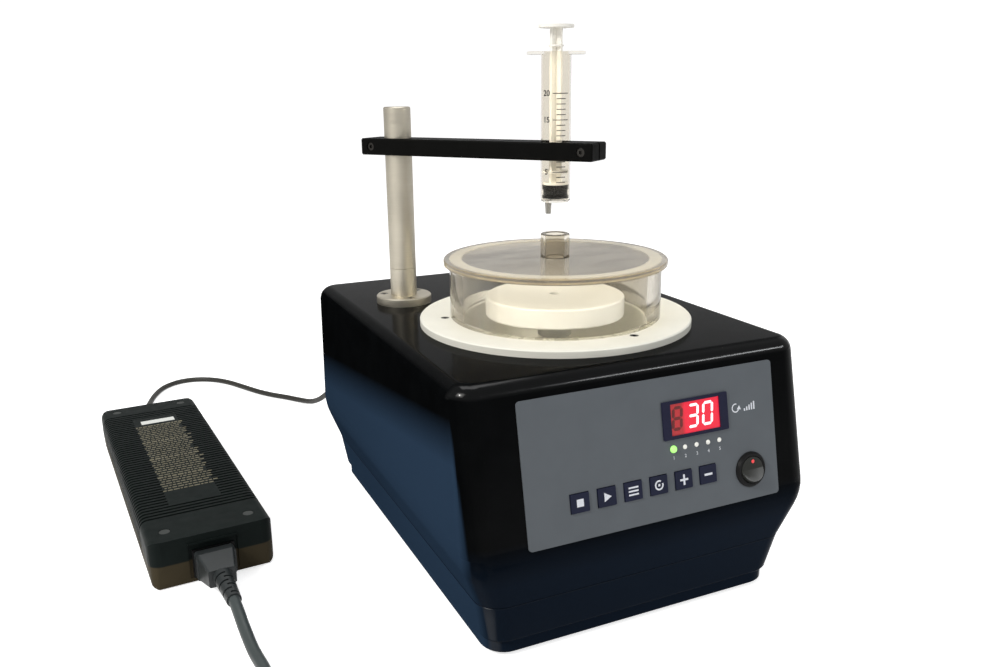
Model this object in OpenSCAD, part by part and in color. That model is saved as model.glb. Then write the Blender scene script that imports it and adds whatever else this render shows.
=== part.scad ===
// Bench spin coater with a lift-off lid, a dispense arm and an external power adapter.
// Millimetres, +Z up. The origin is on the bench, under the middle of the housing.

/* [Housing] */
// Width across the knee of the upper cover
body_w = 250; // [230:1:300]
// Depth from the knee of the front face to the rear wall
body_l = 331; // [310:1:400]
// Height of the flat top above the bench
top_z = 173; // [165:1:190]
// Height of the knee, where the walls turn inwards
knee_z = 70; // [64:1:75]
// Height of the seam between cover and tray
seam_z = 39; // [33:1:42]
// Lean of the front face away from vertical, in degrees
front_tilt = 11.3; // [8:0.1:14]
// How far each side comes in from the knee to the seam
side_taper = 12; // [8:0.5:15]
// How far the front comes in from the knee to the seam
front_taper = 7; // [4:0.5:10]
// How far each side comes in from the knee to the top
side_draft = 1.5; // [0:0.5:3]
// Radius of the upright corners
corner_r = 16; // [13:0.5:20]
// Radius round the edge of the top
top_fillet = 10; // [6:0.5:11]
// Half height over which the knee is rounded
knee_soft = 9; // [5:0.5:12]
// Wall of the cover and the tray
wall = 3; // [2.5:0.1:4]

/* [Base tray] */
// Step from the cover in to the tray at the seam
seam_step = 0.3; // [0.2:0.1:2]
// Bevel along the top edge of the tray
seam_bevel = 1.2; // [0.6:0.1:2]
// Height of the tongue that locates the cover
tongue_h = 4; // [3:0.5:6]
// Thickness of the tongue
tongue_t = 2; // [1.5:0.1:2.5]
// Height of the lower edge of the band
band_low_z = 11; // [9:0.5:14]
// How far the band comes in from the seam to its lower edge
band_draft = 4.5; // [2:0.5:6]
// How far the plinth is set in from the band
plinth_in = 2; // [1.5:0.5:8]
// Height of the rubber feet
foot_h = 2.5; // [2:0.1:4]
// Diameter of the rubber feet
foot_d = 18; // [14:1:24]
// Diameter of the pegs that hold the feet
foot_peg_d = 6; // [4:0.5:8]
// Diameter of the screws that hold the cover to the tray
case_screw_d = 3.5; // [3:0.5:4]
// Diameter of the bosses for those screws
case_boss_d = 12; // [10:0.5:14]

/* [Bowl] */
// Diameter of the white flange
flange_d = 191; // [180:1:196]
// Thickness of the flange
flange_t = 5; // [4:0.5:8]
// Inner diameter of the bowl
bowl_d = 130; // [120:1:140]
// Wall of the bowl
bowl_wall = 3.5; // [3:0.5:5]
// Depth of the bowl below the flange top
bowl_depth = 60; // [50:1:62]
// Thickness of the bowl floor
bowl_floor = 4; // [3:0.5:5]
// Inner diameter of the collar round the spindle
collar_d = 30; // [28:0.5:36]
// Height of the collar above the bowl floor
collar_h = 34; // [25:1:40]
// Number of flange screws
bowl_screws_n = 3; // [3:1:6]
// Diameter of the circle of flange screws
bowl_screw_pcd = 156; // [152:1:170]
// Angle of the first flange screw
bowl_screw_turn = 43; // [0:1:119]

/* [Spindle] */
// Distance from the front knee to the spindle
spindle_set = 133; // [128:1:150]
// Diameter of the chuck
chuck_d = 98; // [80:1:110]
// Thickness of the chuck
chuck_t = 14; // [10:0.5:18]
// Gap between the flange top and the underside of the chuck
chuck_lift = 0.5; // [0.5:0.1:3]
// Radius round the rims of the chuck
chuck_round = 1.6; // [0.5:0.1:3]
// Diameter of the chuck hub
hub_d = 24; // [20:0.5:26]
// Length of the chuck hub
hub_l = 20; // [16:1:24]
// How far the hub reaches into the chuck
hub_seat = 4; // [3:0.5:5]
// Diameter of the spindle shaft
shaft_d = 8; // [6:0.5:10]
// Radial running clearance of the shaft in its bearings
shaft_gap = 0.05; // [0.01:0.01:0.1]
// Diameter of the motor can
can_d = 60; // [56:1:70]
// Length of the motor can
can_l = 44; // [40:1:46]
// Outer diameter of each motor bearing
bearing_d = 22; // [20:1:26]
// Width of each motor bearing
bearing_w = 7; // [6:0.5:8]
// Side of the square motor plate
plate_w = 120; // [112:1:130]
// Thickness of the motor plate
plate_t = 6; // [5:0.5:8]
// Gap between the bowl floor and the motor plate
plate_drop = 4; // [4:0.5:8]
// Spacing of the standoffs under the motor plate
standoff_space = 100; // [92:1:106]
// Diameter of the standoffs
standoff_d = 10; // [8:0.5:12]

/* [Lid] */
// Diameter of the lid plate
lid_d = 156; // [150:1:164]
// Thickness of the lid plate
lid_t = 4; // [3:0.5:6]
// Outer diameter of the wall ring
ring_d = 148; // [142:1:150]
// Thickness of the wall ring
ring_t = 9; // [5:0.5:9]
// Height of the wall ring
ring_h = 36.6; // [30:0.1:38]
// Outer diameter of the spout
spout_d = 20.3; // [16:0.1:26]
// Bore of the spout
spout_bore = 13.2; // [10:0.1:15]
// Height of the spout
spout_h = 16.5; // [10:0.5:18]
// How far the lid lifts before it meets the nozzle
lid_travel = 12; // [5:0.5:12]

/* [Dispense arm] */
// Distance from the side of the housing to the post
post_side_set = 48; // [44:1:60]
// Distance from the rear wall to the post
post_rear_set = 94.5; // [80:0.5:110]
// Diameter of the post
post_d = 20; // [16:0.5:24]
// Height of the top of the post above the bench
post_top_z = 320; // [312:1:340]
// Diameter of the foot flange of the post
post_flange_d = 42; // [38:1:50]
// Thickness of the foot flange
post_flange_t = 6; // [5:0.5:8]
// Height of the collar above the top of the housing
post_collar_h = 27; // [20:1:40]
// Diameter of the stud between collar and post
stud_d = 10; // [8:0.5:12]
// Height of the underside of the arm above the bench
arm_z = 285.5; // [282:0.5:300]
// Thickness of the arm
arm_t = 12; // [10:0.5:16]
// Width of the arm
arm_w = 25; // [25:0.5:34]
// Length of the arm beyond the post axis
arm_tail = 25; // [22:0.5:30]
// Length of the arm beyond the syringe axis
arm_nose = 32; // [28:0.5:40]
// Distance from the end of the arm to each clamp screw
clamp_set = 8.5; // [7:0.5:9]
// Width of the clamp slits
slit_w = 1.6; // [1:0.1:2.5]
// Radial clearance of the post and the syringe in the arm
arm_gap = 0.06; // [0.03:0.01:0.1]

/* [Syringe] */
// Outer diameter of the barrel
barrel_d = 20.2; // [16:0.1:22]
// Wall of the barrel
barrel_wall = 0.9; // [0.7:0.1:1.2]
// Height of the nozzle tip above the bench
tip_z = 248.7; // [248:0.1:256]
// Length of the nozzle
nozzle_l = 8.3; // [6:0.1:10]
// Length of the barrel from its shoulder to its finger flange
barrel_l = 98.8; // [90:0.1:110]
// Distance of the nozzle axis from the outside of the barrel
nozzle_set = 5.3; // [5:0.1:8]
// Length of the finger flange
finger_w = 39; // [32:0.5:44]
// Length of the piston
piston_l = 10; // [7:0.5:12]
// Clearance of the piston in the barrel
piston_gap = 0.05; // [0.02:0.01:0.1]
// Height of the thumb disc above the finger flange
thumb_up = 16.8; // [14:0.1:25]
// Diameter of the thumb disc
thumb_d = 23.6; // [18:0.1:26]
// Width of the plunger rod
rod_w = 10; // [8:0.5:14]

/* [Front panel] */
// Width of the grey panel
panel_w = 183.4; // [176:0.2:200]
// Height of the grey panel
panel_h = 88.2; // [80:0.2:92]
// Thickness of the grey panel
panel_t = 0.8; // [0.5:0.1:1.5]
// Sideways offset of the panel from the middle
panel_x = 4.6; // [-6:0.2:6]
// Distance from the knee up the face to the panel
panel_up = 5.2; // [3:0.1:9]
// Height of a key above the lower edge of the panel
key_up = 22.6; // [18:0.1:26]
// Distance from the left edge of the panel to the first key
key_in = 35.5; // [25:0.1:40]
// Spacing of the keys
key_pitch = 18.5; // [16:0.1:20]
// Width of a key
key_w = 12.4; // [10:0.1:14]
// Height of a key
key_h = 11.4; // [9:0.1:13]
// Travel of a key
key_travel = 0.4; // [0.2:0.05:0.5]
// Clearance round a key
key_gap = 0.35; // [0.3:0.05:0.6]
// How far a key stands above the panel
key_proud = 0.8; // [0.6:0.1:1.5]
// Distance from the left edge of the panel to the middle of the display
display_in = 121.7; // [115:0.1:125]
// Height of the middle of the display above the lower edge of the panel
display_up = 60.8; // [58:0.1:66]
// Width of the display window
window_w = 37; // [32:0.2:40]
// Height of the display window
window_h = 19.8; // [17:0.2:22]
// Rim of the display bezel on the left and right
bezel_side = 6.1; // [4:0.1:8]
// Rim of the display bezel above and below
bezel_edge = 2.1; // [1.5:0.1:3]
// Height of the lamps above the lower edge of the panel
lamp_up = 42.7; // [40:0.1:44]
// Spacing of the lamps
lamp_pitch = 8.75; // [7:0.05:10]
// Diameter of the lamps
lamp_d = 3; // [2:0.1:4]
// Distance from the right edge of the panel to the rocker switch
switch_in = 21.9; // [18:0.1:30]
// Height of the rocker switch above the lower edge of the panel
switch_up = 19.5; // [17:0.1:24]
// Diameter of the switch bezel
switch_bezel_d = 23; // [22:0.5:26]
// Diameter of the switch body
switch_body_d = 20; // [18:0.5:21]
// Tilt of the rocker to each side, in degrees
rocker_tilt = 12; // [8:1:14]
// Distance from the outside of the front face to the control board
board_back = 10; // [9:0.5:13]
// Thickness of the circuit boards
board_t = 1.6; // [1:0.2:2]

/* [Rear] */
// Sideways place of the power socket
socket_x = -70; // [-80:1:-60]
// Height of the power socket above the bench
socket_z = 70; // [60:1:80]
// Diameter of the power socket
socket_d = 15.6; // [12:0.1:16]
// Thickness of the flange of the power socket
socket_lip = 3; // [2:0.5:4]
// Number of vent slots
vent_n = 9; // [5:1:11]
// Spacing of the vent slots
vent_pitch = 8; // [6:0.5:9]
// Width of a vent slot
vent_w = 3; // [2:0.5:4]
// Height of a vent slot
vent_h = 36; // [20:1:50]

/* [Adapter] */
// Width of the adapter
adapter_w = 86; // [70:1:100]
// Length of the adapter
adapter_l = 300; // [200:1:330]
// Height of the adapter case
adapter_h = 35.5; // [28:0.5:45]
// Height of the pads under the adapter
pad_h = 1; // [0.5:0.1:2]
// Sideways place of the middle of the adapter
adapter_x = -251; // [-260:1:-240]
// Place of the middle of the adapter along the depth
adapter_y = 169.4; // [160:0.1:180]
// Turn of the adapter on the bench, in degrees
adapter_turn = 3.7; // [0:0.1:8]
// Radius of the edges along the adapter
adapter_edge_r = 6; // [4:0.5:8]
// Radius of the corners of the adapter in plan
adapter_corner_r = 9; // [6:0.5:12]
// Height of the seam of the adapter case above its underside
adapter_split = 17; // [14:0.5:22]
// Draft of the adapter case below its seam, in degrees
adapter_draft = 3.5; // [1:0.5:5]
// Smooth length at the inlet end
front_cap_l = 36; // [25:1:45]
// Smooth length at the cable end
rear_cap_l = 20; // [15:1:30]
// Spacing of the cooling grooves
groove_pitch = 5; // [4:0.5:7]
// Width of a cooling groove
groove_w = 2.2; // [1.5:0.1:3]
// Depth of a cooling groove
groove_deep = 1.2; // [0.8:0.1:2]
// Height of the mains inlet above the bench
inlet_z = 14.5; // [13.5:0.5:20]
// Width of the recess round the mains inlet
recess_w = 34; // [32:0.5:44]
// Depth of that recess
recess_deep = 1.5; // [1:0.1:3]
// Diameter of the low-voltage cable
dc_d = 5.5; // [4.5:0.1:6.5]
// Diameter of the mains cord
cord_d = 7.8; // [6:0.1:9]
// Radius to the middle of the coil of spare cord
coil_r = 41.2; // [38:0.1:46]

/* [Hidden] */
$fn = 64;
hull_fn = 32;
thin = 0.01;
over = 1;

// Places worked out from the housing
front_bend = front_taper / (knee_z - seam_z) + tan(front_tilt);
side_bend = side_taper / (knee_z - seam_z) + side_draft / (top_z - knee_z);
front_y = -(body_l + socket_lip + 0.2) / 2;
rear_y = front_y + body_l;
spindle_y = front_y + spindle_set;
post_x = -(body_w / 2 - post_side_set);
post_y = rear_y - post_rear_set;
floor_z = foot_h + wall;
boss_x = body_w / 2 - 37;
boss_ys = [front_y + 62, rear_y - 52];
boss_top_z = knee_z - 8;

// Heights of the bowl and the spindle
flange_z = top_z + flange_t;
bowl_r = bowl_d / 2;
cup_r = bowl_r + bowl_wall;
cup_z = flange_z - bowl_depth;
bowl_under_z = cup_z - bowl_floor;
plate_z = bowl_under_z - plate_drop - plate_t;
bell_t = bearing_w + 2;
bell_z = plate_z - bell_t;
can_z = bell_z - can_l;
pilot_h = 3;
pilot_r = 11;
chuck_z = flange_z + chuck_lift;
hub_top_z = chuck_z + hub_seat;
hub_z = hub_top_z - hub_l;
shaft_top_z = hub_top_z - 8;
shaft_z = can_z + 2;
shaft_r = shaft_d / 2;
grub_z = hub_z + 5;
screw_head_h = 2.4;
case_screw_l = boss_top_z - floor_z - screw_head_h - 10;
bell_bolt_r = 20;

// Places on the dispense arm
arm_turn = atan2(spindle_y - post_y, -post_x);
arm_reach = norm([post_x, post_y - spindle_y]);
collar_top_z = top_z + post_collar_h;
stud_low = 22;
stud_up = 15;
shoulder_z = tip_z + nozzle_l;
finger_z = shoulder_z + barrel_l;
finger_t = 2;
bore_r = barrel_d / 2 - barrel_wall;
piston_z = shoulder_z + 1.8;
thumb_z = finger_z + thumb_up;
thumb_t = 2;
nozzle_turn = 151;
nozzle_off = barrel_d / 2 - nozzle_set;

// Places on the front face, across and up from the knee
panel_left = panel_x - panel_w / 2;
display_x = panel_left + display_in;
display_y = panel_up + display_up;
lamp_x = display_x - 2 * lamp_pitch - 0.4;
lamp_y = panel_up + lamp_up;
key_x = panel_left + key_in;
key_y = panel_up + key_up;
switch_x = panel_x + panel_w / 2 - switch_in;
switch_y = panel_up + switch_up;
inner_face = -wall * cos(front_tilt);
panel_seat = 0.03;
rocker_r = switch_body_d / 2 - 1.4;
rocker_pin_r = 1.2;
board_left = key_x - 16;
board_right = switch_x - switch_body_d / 2 - 5;
board_low = key_y - 16;
board_high = display_y + 16;

// Adapter fittings
inlet_w = 29;
inlet_h = 21;
inlet_deep = 18;
inlet_wall = 2;
recess_over = 5;
inlet_in_w = inlet_w - 2 * inlet_wall;
inlet_in_h = inlet_h - 2 * inlet_wall;
adapter_mid_z = pad_h + adapter_h / 2;
connector_l = 26;
grip_y = 8;
boot_l = 34;
gland_l = 16;

// Coil of spare mains cord
coil_x = -179.2;
coil_y = -202;
coil_pitch = cord_d;
coil_rise = cord_d;
tie_t = 1;

// Middle line of the low-voltage cable
dc_route = [
    [-70, 212.5, 70], [-70.5, 228, 69], [-73, 246, 63], [-77.5, 264, 52.5], [-82.5, 283, 39],
    [-87.5, 302, 25.5], [-92, 321, 14], [-97, 340, 6.5], [-104.5, 359, 3.4], [-116, 376, 3],
    [-129, 392, 3], [-141, 411, 3], [-152.5, 434, 3], [-165, 458, 3], [-180, 476, 3],
    [-198, 486, 3], [-217, 485.5, 3], [-234, 472.5, 3], [-246, 449, 3], [-254, 422, 3],
    [-258.8, 397, 4.2], [-261, 376, 9.5], [-261.7, 358, 15.6], [-261.6, 345, 18.4],
    [-261.7, 334.5, 18.75]
];

// Middle line of the mains cord from the connector to the coil
mains_route = [
    [-237.5, -39.7, 14.5], [-236.9, -51, 13.2], [-236.2, -63, 10.2], [-235.2, -75, 7],
    [-234, -88, 4.8], [-231.9, -104, 4.1], [-230.6, -121, 4.1], [-229.4, -141, 4.3],
    [-228.6, -161, 4.6], [-228.2, -182, 4.9]
];

// Middle line of the mains cord from the coil to the plug
lead_route = [
    [-165, -250.8, 12.2], [-151, -250, 11.3], [-137, -248.7, 11], [-124, -247.5, 11.6],
    [-112.5, -247, 12.5]
];
plug_x = -98;
plug_y = -247;
plug_z = 12.5;

// ---------- helpers ----------

// Round-over of the knee at a height z, for a wall that bends by bend
function knee_dip(z, bend) =
    let (d = abs(z - knee_z))
    d < knee_soft ? bend * pow(knee_soft - d, 2) / (4 * knee_soft) : 0;

// Half width of the cover at a height z
function half_w(z) =
    body_w / 2 - knee_dip(z, side_bend)
    - (z > knee_z
        ? side_draft * (z - knee_z) / (top_z - knee_z)
        : side_taper * (knee_z - z) / (knee_z - seam_z));

// Front of the cover at a height z
function face_y(z) =
    front_y + knee_dip(z, front_bend)
    + (z > knee_z
        ? (z - knee_z) * tan(front_tilt)
        : front_taper * (knee_z - z) / (knee_z - seam_z));

// Four upright rounds at the corners of the housing, inset by in
module corners(z, in, h, side, front, rear) {
    for (sx = [-1, 1], y = [front + corner_r, rear - corner_r])
        translate([sx * (side - corner_r), y, z])
            cylinder(r = corner_r - in, h = h, $fn = hull_fn);
}

// How far the round of the top edge sits in from a wall that leans by lean
function edge_in(lean) = corner_r - top_fillet + top_fillet * (1 - sin(lean)) / cos(lean);

// The four rounded corners under the flat top
module top_corners(in) {
    fillet = top_fillet - in;
    side = half_w(top_z) - edge_in(atan(side_draft / (top_z - knee_z)));
    for (sx = [-1, 1], y = [face_y(top_z) + edge_in(front_tilt), rear_y - corner_r])
        translate([sx * side, y, top_z - top_fillet])
            rotate_extrude($fn = hull_fn)
                intersection() {
                    translate([corner_r - top_fillet, 0]) circle(r = fillet, $fn = hull_fn);
                    translate([0, -top_fillet]) square(2 * corner_r);
                }
}

// The solid form of the cover, inset by in, down to low_z
module cover_form(in, low_z) {
    hull() {
        top_corners(in);
        for (k = [-1, -0.5, 0, 0.5, 1]) {
            z = knee_z + k * knee_soft;
            corners(z, in, thin, half_w(z), face_y(z), rear_y);
        }
        corners(low_z, in, thin, half_w(low_z), face_y(low_z), rear_y);
    }
}

// Puts children on the front face: X across, Y up the face from the knee, Z outwards
module on_face() {
    translate([0, front_y, knee_z]) rotate([90 - front_tilt, 0, 0]) children();
}

// Puts children at the spindle axis
module at_spindle(z = 0) {
    translate([0, spindle_y, z]) children();
}

// Puts children at the post, turned so that X runs along the arm
module at_post(z = 0) {
    translate([post_x, post_y, z]) rotate([0, 0, arm_turn]) children();
}

// Puts children on the adapter: Y runs from the inlet to the low-voltage cable
module at_adapter(z = 0) {
    translate([adapter_x, adapter_y, z]) rotate([0, 0, adapter_turn]) children();
}

// Puts children round a circle
module ring_of(n, r, turn = 0) {
    for (i = [0 : n - 1])
        rotate([0, 0, turn + i * 360 / n]) translate([r, 0, 0]) children();
}

// Puts children at the corners of a rectangle
module four(x, y) {
    for (sx = [-1, 1], sy = [-1, 1]) translate([sx * x, sy * y, 0]) children();
}

// Rectangle with round corners, about its middle
module round_rect(w, h, r) {
    square([w - 2 * r, h], center = true);
    square([w, h - 2 * r], center = true);
    for (sx = [-1, 1], sy = [-1, 1])
        translate([sx * (w / 2 - r), sy * (h / 2 - r)]) circle(r = r);
}

// Screw with its head from z = 0 up and its shank below, with a hexagon socket
module screw(head_r, head_h, shank_r, shank_l) {
    difference() {
        cylinder(r = head_r, h = head_h);
        translate([0, 0, head_h - 0.55 * head_h])
            cylinder(r = 0.5 * head_r, h = head_h, $fn = 6);
    }
    translate([0, 0, -shank_l]) cylinder(r = shank_r, h = shank_l + thin);
}

// Unit vector
function unit(v) = v / norm(v);

// Smooth line through route, with steps parts between its points
function smooth(route, steps) =
    let (last = len(route) - 1)
    concat(
        [for (i = [0 : last - 1], s = [0 : steps - 1])
            let (
                t = s / steps,
                a = route[max(i - 1, 0)],
                b = route[i],
                c = route[i + 1],
                d = route[min(i + 2, last)]
            )
            b + 0.5 * t * ((c - a) + t * ((2 * a - 5 * b + 4 * c - d) + t * (3 * b - a - 3 * c + d)))],
        [route[last]]);

// Round tube of diameter d along the points of line
module tube(line, d, sides = 8) {
    n = len(line);
    rings = [for (i = [0 : n - 1])
        let (
            ahead = unit(line[min(i + 1, n - 1)] - line[max(i - 1, 0)]),
            side = unit(cross(ahead, [0, 0, 1])),
            up = cross(side, ahead)
        )
        for (k = [0 : sides - 1])
            let (a = 360 * (k + 0.5) / sides)
            line[i] + d / 2 * (cos(a) * side + sin(a) * up)];
    walls = [for (i = [0 : n - 2], k = [0 : sides - 1])
        let (j = (k + 1) % sides)
        [i * sides + k, (i + 1) * sides + k, (i + 1) * sides + j, i * sides + j]];
    start = [for (k = [0 : sides - 1]) k];
    end = [for (k = [0 : sides - 1]) (n - 1) * sides + sides - 1 - k];
    polyhedron(rings, concat(walls, [start, end]), convexity = 10);
}

// ---------- housing ----------

module upper_cover() {
    color([0.03, 0.03, 0.04])
    difference() {
        union() {
            difference() {
                cover_form(0, seam_z);
                cover_form(wall, seam_z - 2);
            }
            intersection() {
                cover_form(wall / 2, seam_z - 2);
                cover_bosses();
            }
        }
        at_spindle(top_z - 2 * wall) cylinder(r = cup_r + 0.5, h = 4 * wall);
        at_spindle(top_z - 2 * wall)
            ring_of(bowl_screws_n, bowl_screw_pcd / 2, bowl_screw_turn) cylinder(r = 1.6, h = 4 * wall);
        translate([post_x, post_y, top_z - 2 * wall])
            ring_of(3, post_screw_r, 30) cylinder(r = 1.8, h = 4 * wall);
        front_cuts();
        rear_cuts();
    }
}

post_screw_r = post_flange_d / 2 - 5.5;

// Bosses for the case screws, each on a rib from the side wall
module cover_bosses() {
    for (sx = [-1, 1], y = boss_ys)
        translate([sx * boss_x, y, 0])
            difference() {
                union() {
                    translate([0, 0, seam_z - 0.8])
                        cylinder(d = case_boss_d, h = boss_top_z - seam_z + 0.8);
                    translate([sx > 0 ? 0 : -body_w / 2, -wall / 2, seam_z + tongue_h + over])
                        cube([body_w / 2, wall, boss_top_z - seam_z - tongue_h - over]);
                }
                translate([0, 0, seam_z - 2])
                    cylinder(d = case_screw_d + 0.1, h = boss_top_z - seam_z - 2);
            }
}

// Openings in the front face for the keys, lamps, display and switch
module front_cuts() {
    on_face() {
        for (i = [0 : 5])
            translate([key_x + i * key_pitch, key_y, 0])
                cube([key_w + 2 * key_gap, key_h + 2 * key_gap, 4 * wall], center = true);
        for (i = [0 : 4])
            translate([lamp_x + i * lamp_pitch, lamp_y, -2 * wall])
                cylinder(d = lamp_d + 0.2, h = 4 * wall);
        translate([display_x, display_y, 0])
            cube([window_w + 1.2, window_h + 1.2, 4 * wall], center = true);
        translate([switch_x, switch_y, -2 * wall]) cylinder(d = switch_body_d + 0.2, h = 4 * wall);
    }
}

// Openings in the rear wall for the power socket and the air
module rear_cuts() {
    translate([socket_x, rear_y - 2 * wall, socket_z])
        rotate([-90, 0, 0]) cylinder(d = socket_d + 0.2, h = 4 * wall);
    for (i = [0 : vent_n - 1])
        translate([15 + i * vent_pitch, rear_y, socket_z + 10]) {
            cube([vent_w, 4 * wall, vent_h - vent_w], center = true);
            for (s = [-1, 1])
                translate([0, -2 * wall, s * (vent_h - vent_w) / 2])
                    rotate([-90, 0, 0]) cylinder(d = vent_w, h = 4 * wall);
        }
}

seam_side = half_w(seam_z);
seam_front = face_y(seam_z);
tray_side = seam_side - seam_step;
tray_front = seam_front + seam_step;
tray_rear = rear_y - seam_step;
low_side = tray_side - band_draft;
low_front = tray_front + band_draft;
plinth_side = low_side - plinth_in;
plinth_front = low_front + plinth_in;
plinth_rear = tray_rear - plinth_in;
low_h = band_low_z - foot_h;
tongue_in = wall + 0.4;

module base_tray() {
    color([0.03, 0.03, 0.04])
    difference() {
        union() {
            difference() {
                union() {
                    hull() {
                        corners(seam_z - thin, seam_bevel, thin, tray_side, tray_front, tray_rear);
                        corners(seam_z - seam_bevel, 0, thin, tray_side, tray_front, tray_rear);
                        corners(band_low_z + 2, 0, thin, low_side, low_front, tray_rear);
                        corners(band_low_z, 1.5, thin, low_side, low_front, tray_rear);
                    }
                    hull() {
                        corners(foot_h + 1, 0, low_h, plinth_side, plinth_front, plinth_rear);
                        corners(foot_h, 1, 1, plinth_side, plinth_front, plinth_rear);
                    }
                    hull() {
                        low = seam_z - wall;
                        corners(low, tongue_in, wall + tongue_h, seam_side, seam_front, rear_y);
                    }
                }
                hull() {
                    corners(seam_z + 12, tongue_in + tongue_t, thin, seam_side, seam_front, rear_y);
                    corners(band_low_z + wall, wall + tongue_t, thin, low_side, low_front, tray_rear);
                }
                hull()
                    corners(floor_z, wall, 2 * band_low_z, plinth_side, plinth_front, plinth_rear);
            }
            for (sx = [-1, 1], y = boss_ys)
                translate([sx * boss_x, y, foot_h])
                    cylinder(d = case_boss_d - 1, h = seam_z - foot_h - 1);
        }
        for (sx = [-1, 1], y = boss_ys)
            translate([sx * boss_x, y, 0]) {
                cylinder(d = case_screw_d + 0.4, h = seam_z + over);
                cylinder(d = 2 * case_screw_d + 0.6, h = floor_z + screw_head_h);
            }
        at_spindle() four(standoff_space / 2, standoff_space / 2) cylinder(r = 2.2, h = 2 * floor_z);
        feet_places() cylinder(d = foot_peg_d + 0.1, h = 2 * floor_z);
    }
}

// The places of the four rubber feet
module feet_places() {
    x = plinth_side - corner_r;
    for (sx = [-1, 1], y = [plinth_front + corner_r, plinth_rear - corner_r])
        translate([sx * x, y, 0]) children();
}

module rubber_feet() {
    color([0.08, 0.08, 0.08])
    feet_places() {
        rotate_extrude()
            polygon([
                [0, 0], [foot_d / 2 - 0.8, 0], [foot_d / 2, 0.8], [foot_d / 2, foot_h], [0, foot_h]
            ]);
        cylinder(d = foot_peg_d, h = floor_z + 1);
    }
}

module case_screws() {
    color([0.6, 0.6, 0.62])
    for (sx = [-1, 1], y = boss_ys)
        translate([sx * boss_x, y, floor_z + screw_head_h])
            mirror([0, 0, 1])
                screw(case_screw_d, screw_head_h, case_screw_d / 2, case_screw_l);
}

// ---------- bowl ----------

module splash_bowl() {
    color([0.93, 0.93, 0.92])
    difference() {
        at_spindle(0)
            rotate_extrude($fn = 128)
                polygon([
                    [bowl_r, flange_z - 1], [bowl_r + 1, flange_z], [flange_d / 2 - 0.8, flange_z],
                    [flange_d / 2, flange_z - 0.8], [flange_d / 2, top_z], [cup_r, top_z],
                    [cup_r, bowl_under_z], [collar_d / 2, bowl_under_z],
                    [collar_d / 2, cup_z + collar_h],
                    [collar_d / 2 + 2.5, cup_z + collar_h], [collar_d / 2 + 3.5, cup_z], [bowl_r, cup_z]
                ]);
        at_spindle(top_z - over)
            ring_of(bowl_screws_n, bowl_screw_pcd / 2, bowl_screw_turn) {
                cylinder(r = 1.6, h = flange_t + 2);
                translate([0, 0, flange_t + over - screw_head_h]) cylinder(r = 3.1, h = 4);
            }
    }
}

module bowl_screws() {
    color([0.3, 0.3, 0.3])
    at_spindle(flange_z - screw_head_h)
        ring_of(bowl_screws_n, bowl_screw_pcd / 2, bowl_screw_turn)
            screw(2.9, screw_head_h - 0.3, 1.5, flange_t + wall);
}

// ---------- motor and spindle ----------

module motor_plate() {
    color([0.7, 0.7, 0.72])
    at_spindle(plate_z)
        difference() {
            linear_extrude(plate_t)
                difference() {
                    round_rect(plate_w, plate_w, 8);
                    circle(r = pilot_r + 0.1);
                }
            translate([0, 0, -over])
                four(standoff_space / 2, standoff_space / 2) cylinder(r = 2.2, h = plate_t + 2);
            translate([0, 0, -over]) ring_of(4, bell_bolt_r, 45) cylinder(r = 2.2, h = plate_t + 2);
        }
}

module plate_standoffs() {
    color([0.75, 0.75, 0.77])
    at_spindle(floor_z) four(standoff_space / 2, standoff_space / 2)
        difference() {
            cylinder(d = standoff_d, h = plate_z - floor_z);
            for (z = [-over, plate_z - floor_z - 12])
                translate([0, 0, z]) cylinder(r = 2.05, h = 12 + over);
        }
}

module plate_screws() {
    color([0.55, 0.55, 0.57])
    at_spindle(0) four(standoff_space / 2, standoff_space / 2) {
        translate([0, 0, plate_z + plate_t]) screw(3.5, screw_head_h, 2, plate_t + 8);
        translate([0, 0, foot_h]) mirror([0, 0, 1]) screw(3.5, 1.8, 2, wall + 8);
    }
}

module motor_can() {
    color([0.15, 0.15, 0.16])
    at_spindle(can_z)
        rotate_extrude()
            polygon([
                [bearing_d / 2, 1], [bearing_d / 2, bearing_w + 2], [bearing_d / 2 + 3, bearing_w + 2],
                [bearing_d / 2 + 3, 4], [can_d / 2 - 2, 4], [can_d / 2 - 2, can_l], [can_d / 2, can_l],
                [can_d / 2, 1], [can_d / 2 - 1, 0], [6, 0], [6, 1]
            ]);
}

module motor_end_bell() {
    color([0.65, 0.65, 0.67])
    at_spindle(bell_z)
        difference() {
            rotate_extrude()
                polygon([
                    [bearing_d / 2, 0], [can_d / 2, 0], [can_d / 2, bell_t], [pilot_r, bell_t],
                    [pilot_r, bell_t + pilot_h], [6, bell_t + pilot_h], [6, bearing_w],
                    [bearing_d / 2, bearing_w]
                ]);
            ring_of(4, bell_bolt_r, 45) translate([0, 0, 2]) cylinder(r = 2.05, h = bell_t);
        }
}

module motor_stator() {
    color([0.45, 0.3, 0.15])
    at_spindle(can_z + 14)
        difference() {
            cylinder(d = can_d - 4.2, h = can_l - 20);
            translate([0, 0, -over]) cylinder(d = can_d - 18, h = can_l);
            ring_of(12, can_d / 2 - 11) translate([0, -1.2, -over]) cube([7, 2.4, can_l]);
        }
}

module motor_bearings() {
    color([0.8, 0.8, 0.82])
    at_spindle(0)
        for (z = [can_z + 1, bell_z])
            translate([0, 0, z])
                rotate_extrude()
                    polygon([
                        [shaft_r + shaft_gap, 0], [bearing_d / 2 - 0.5, 0], [bearing_d / 2, 0.5],
                        [bearing_d / 2, bearing_w - 0.5], [bearing_d / 2 - 0.5, bearing_w],
                        [shaft_r + shaft_gap, bearing_w]
                    ]);
}

module motor_screws() {
    color([0.55, 0.55, 0.57])
    at_spindle(plate_z + plate_t) ring_of(4, bell_bolt_r, 45) screw(3.4, screw_head_h, 2, plate_t + 5);
}

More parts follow.
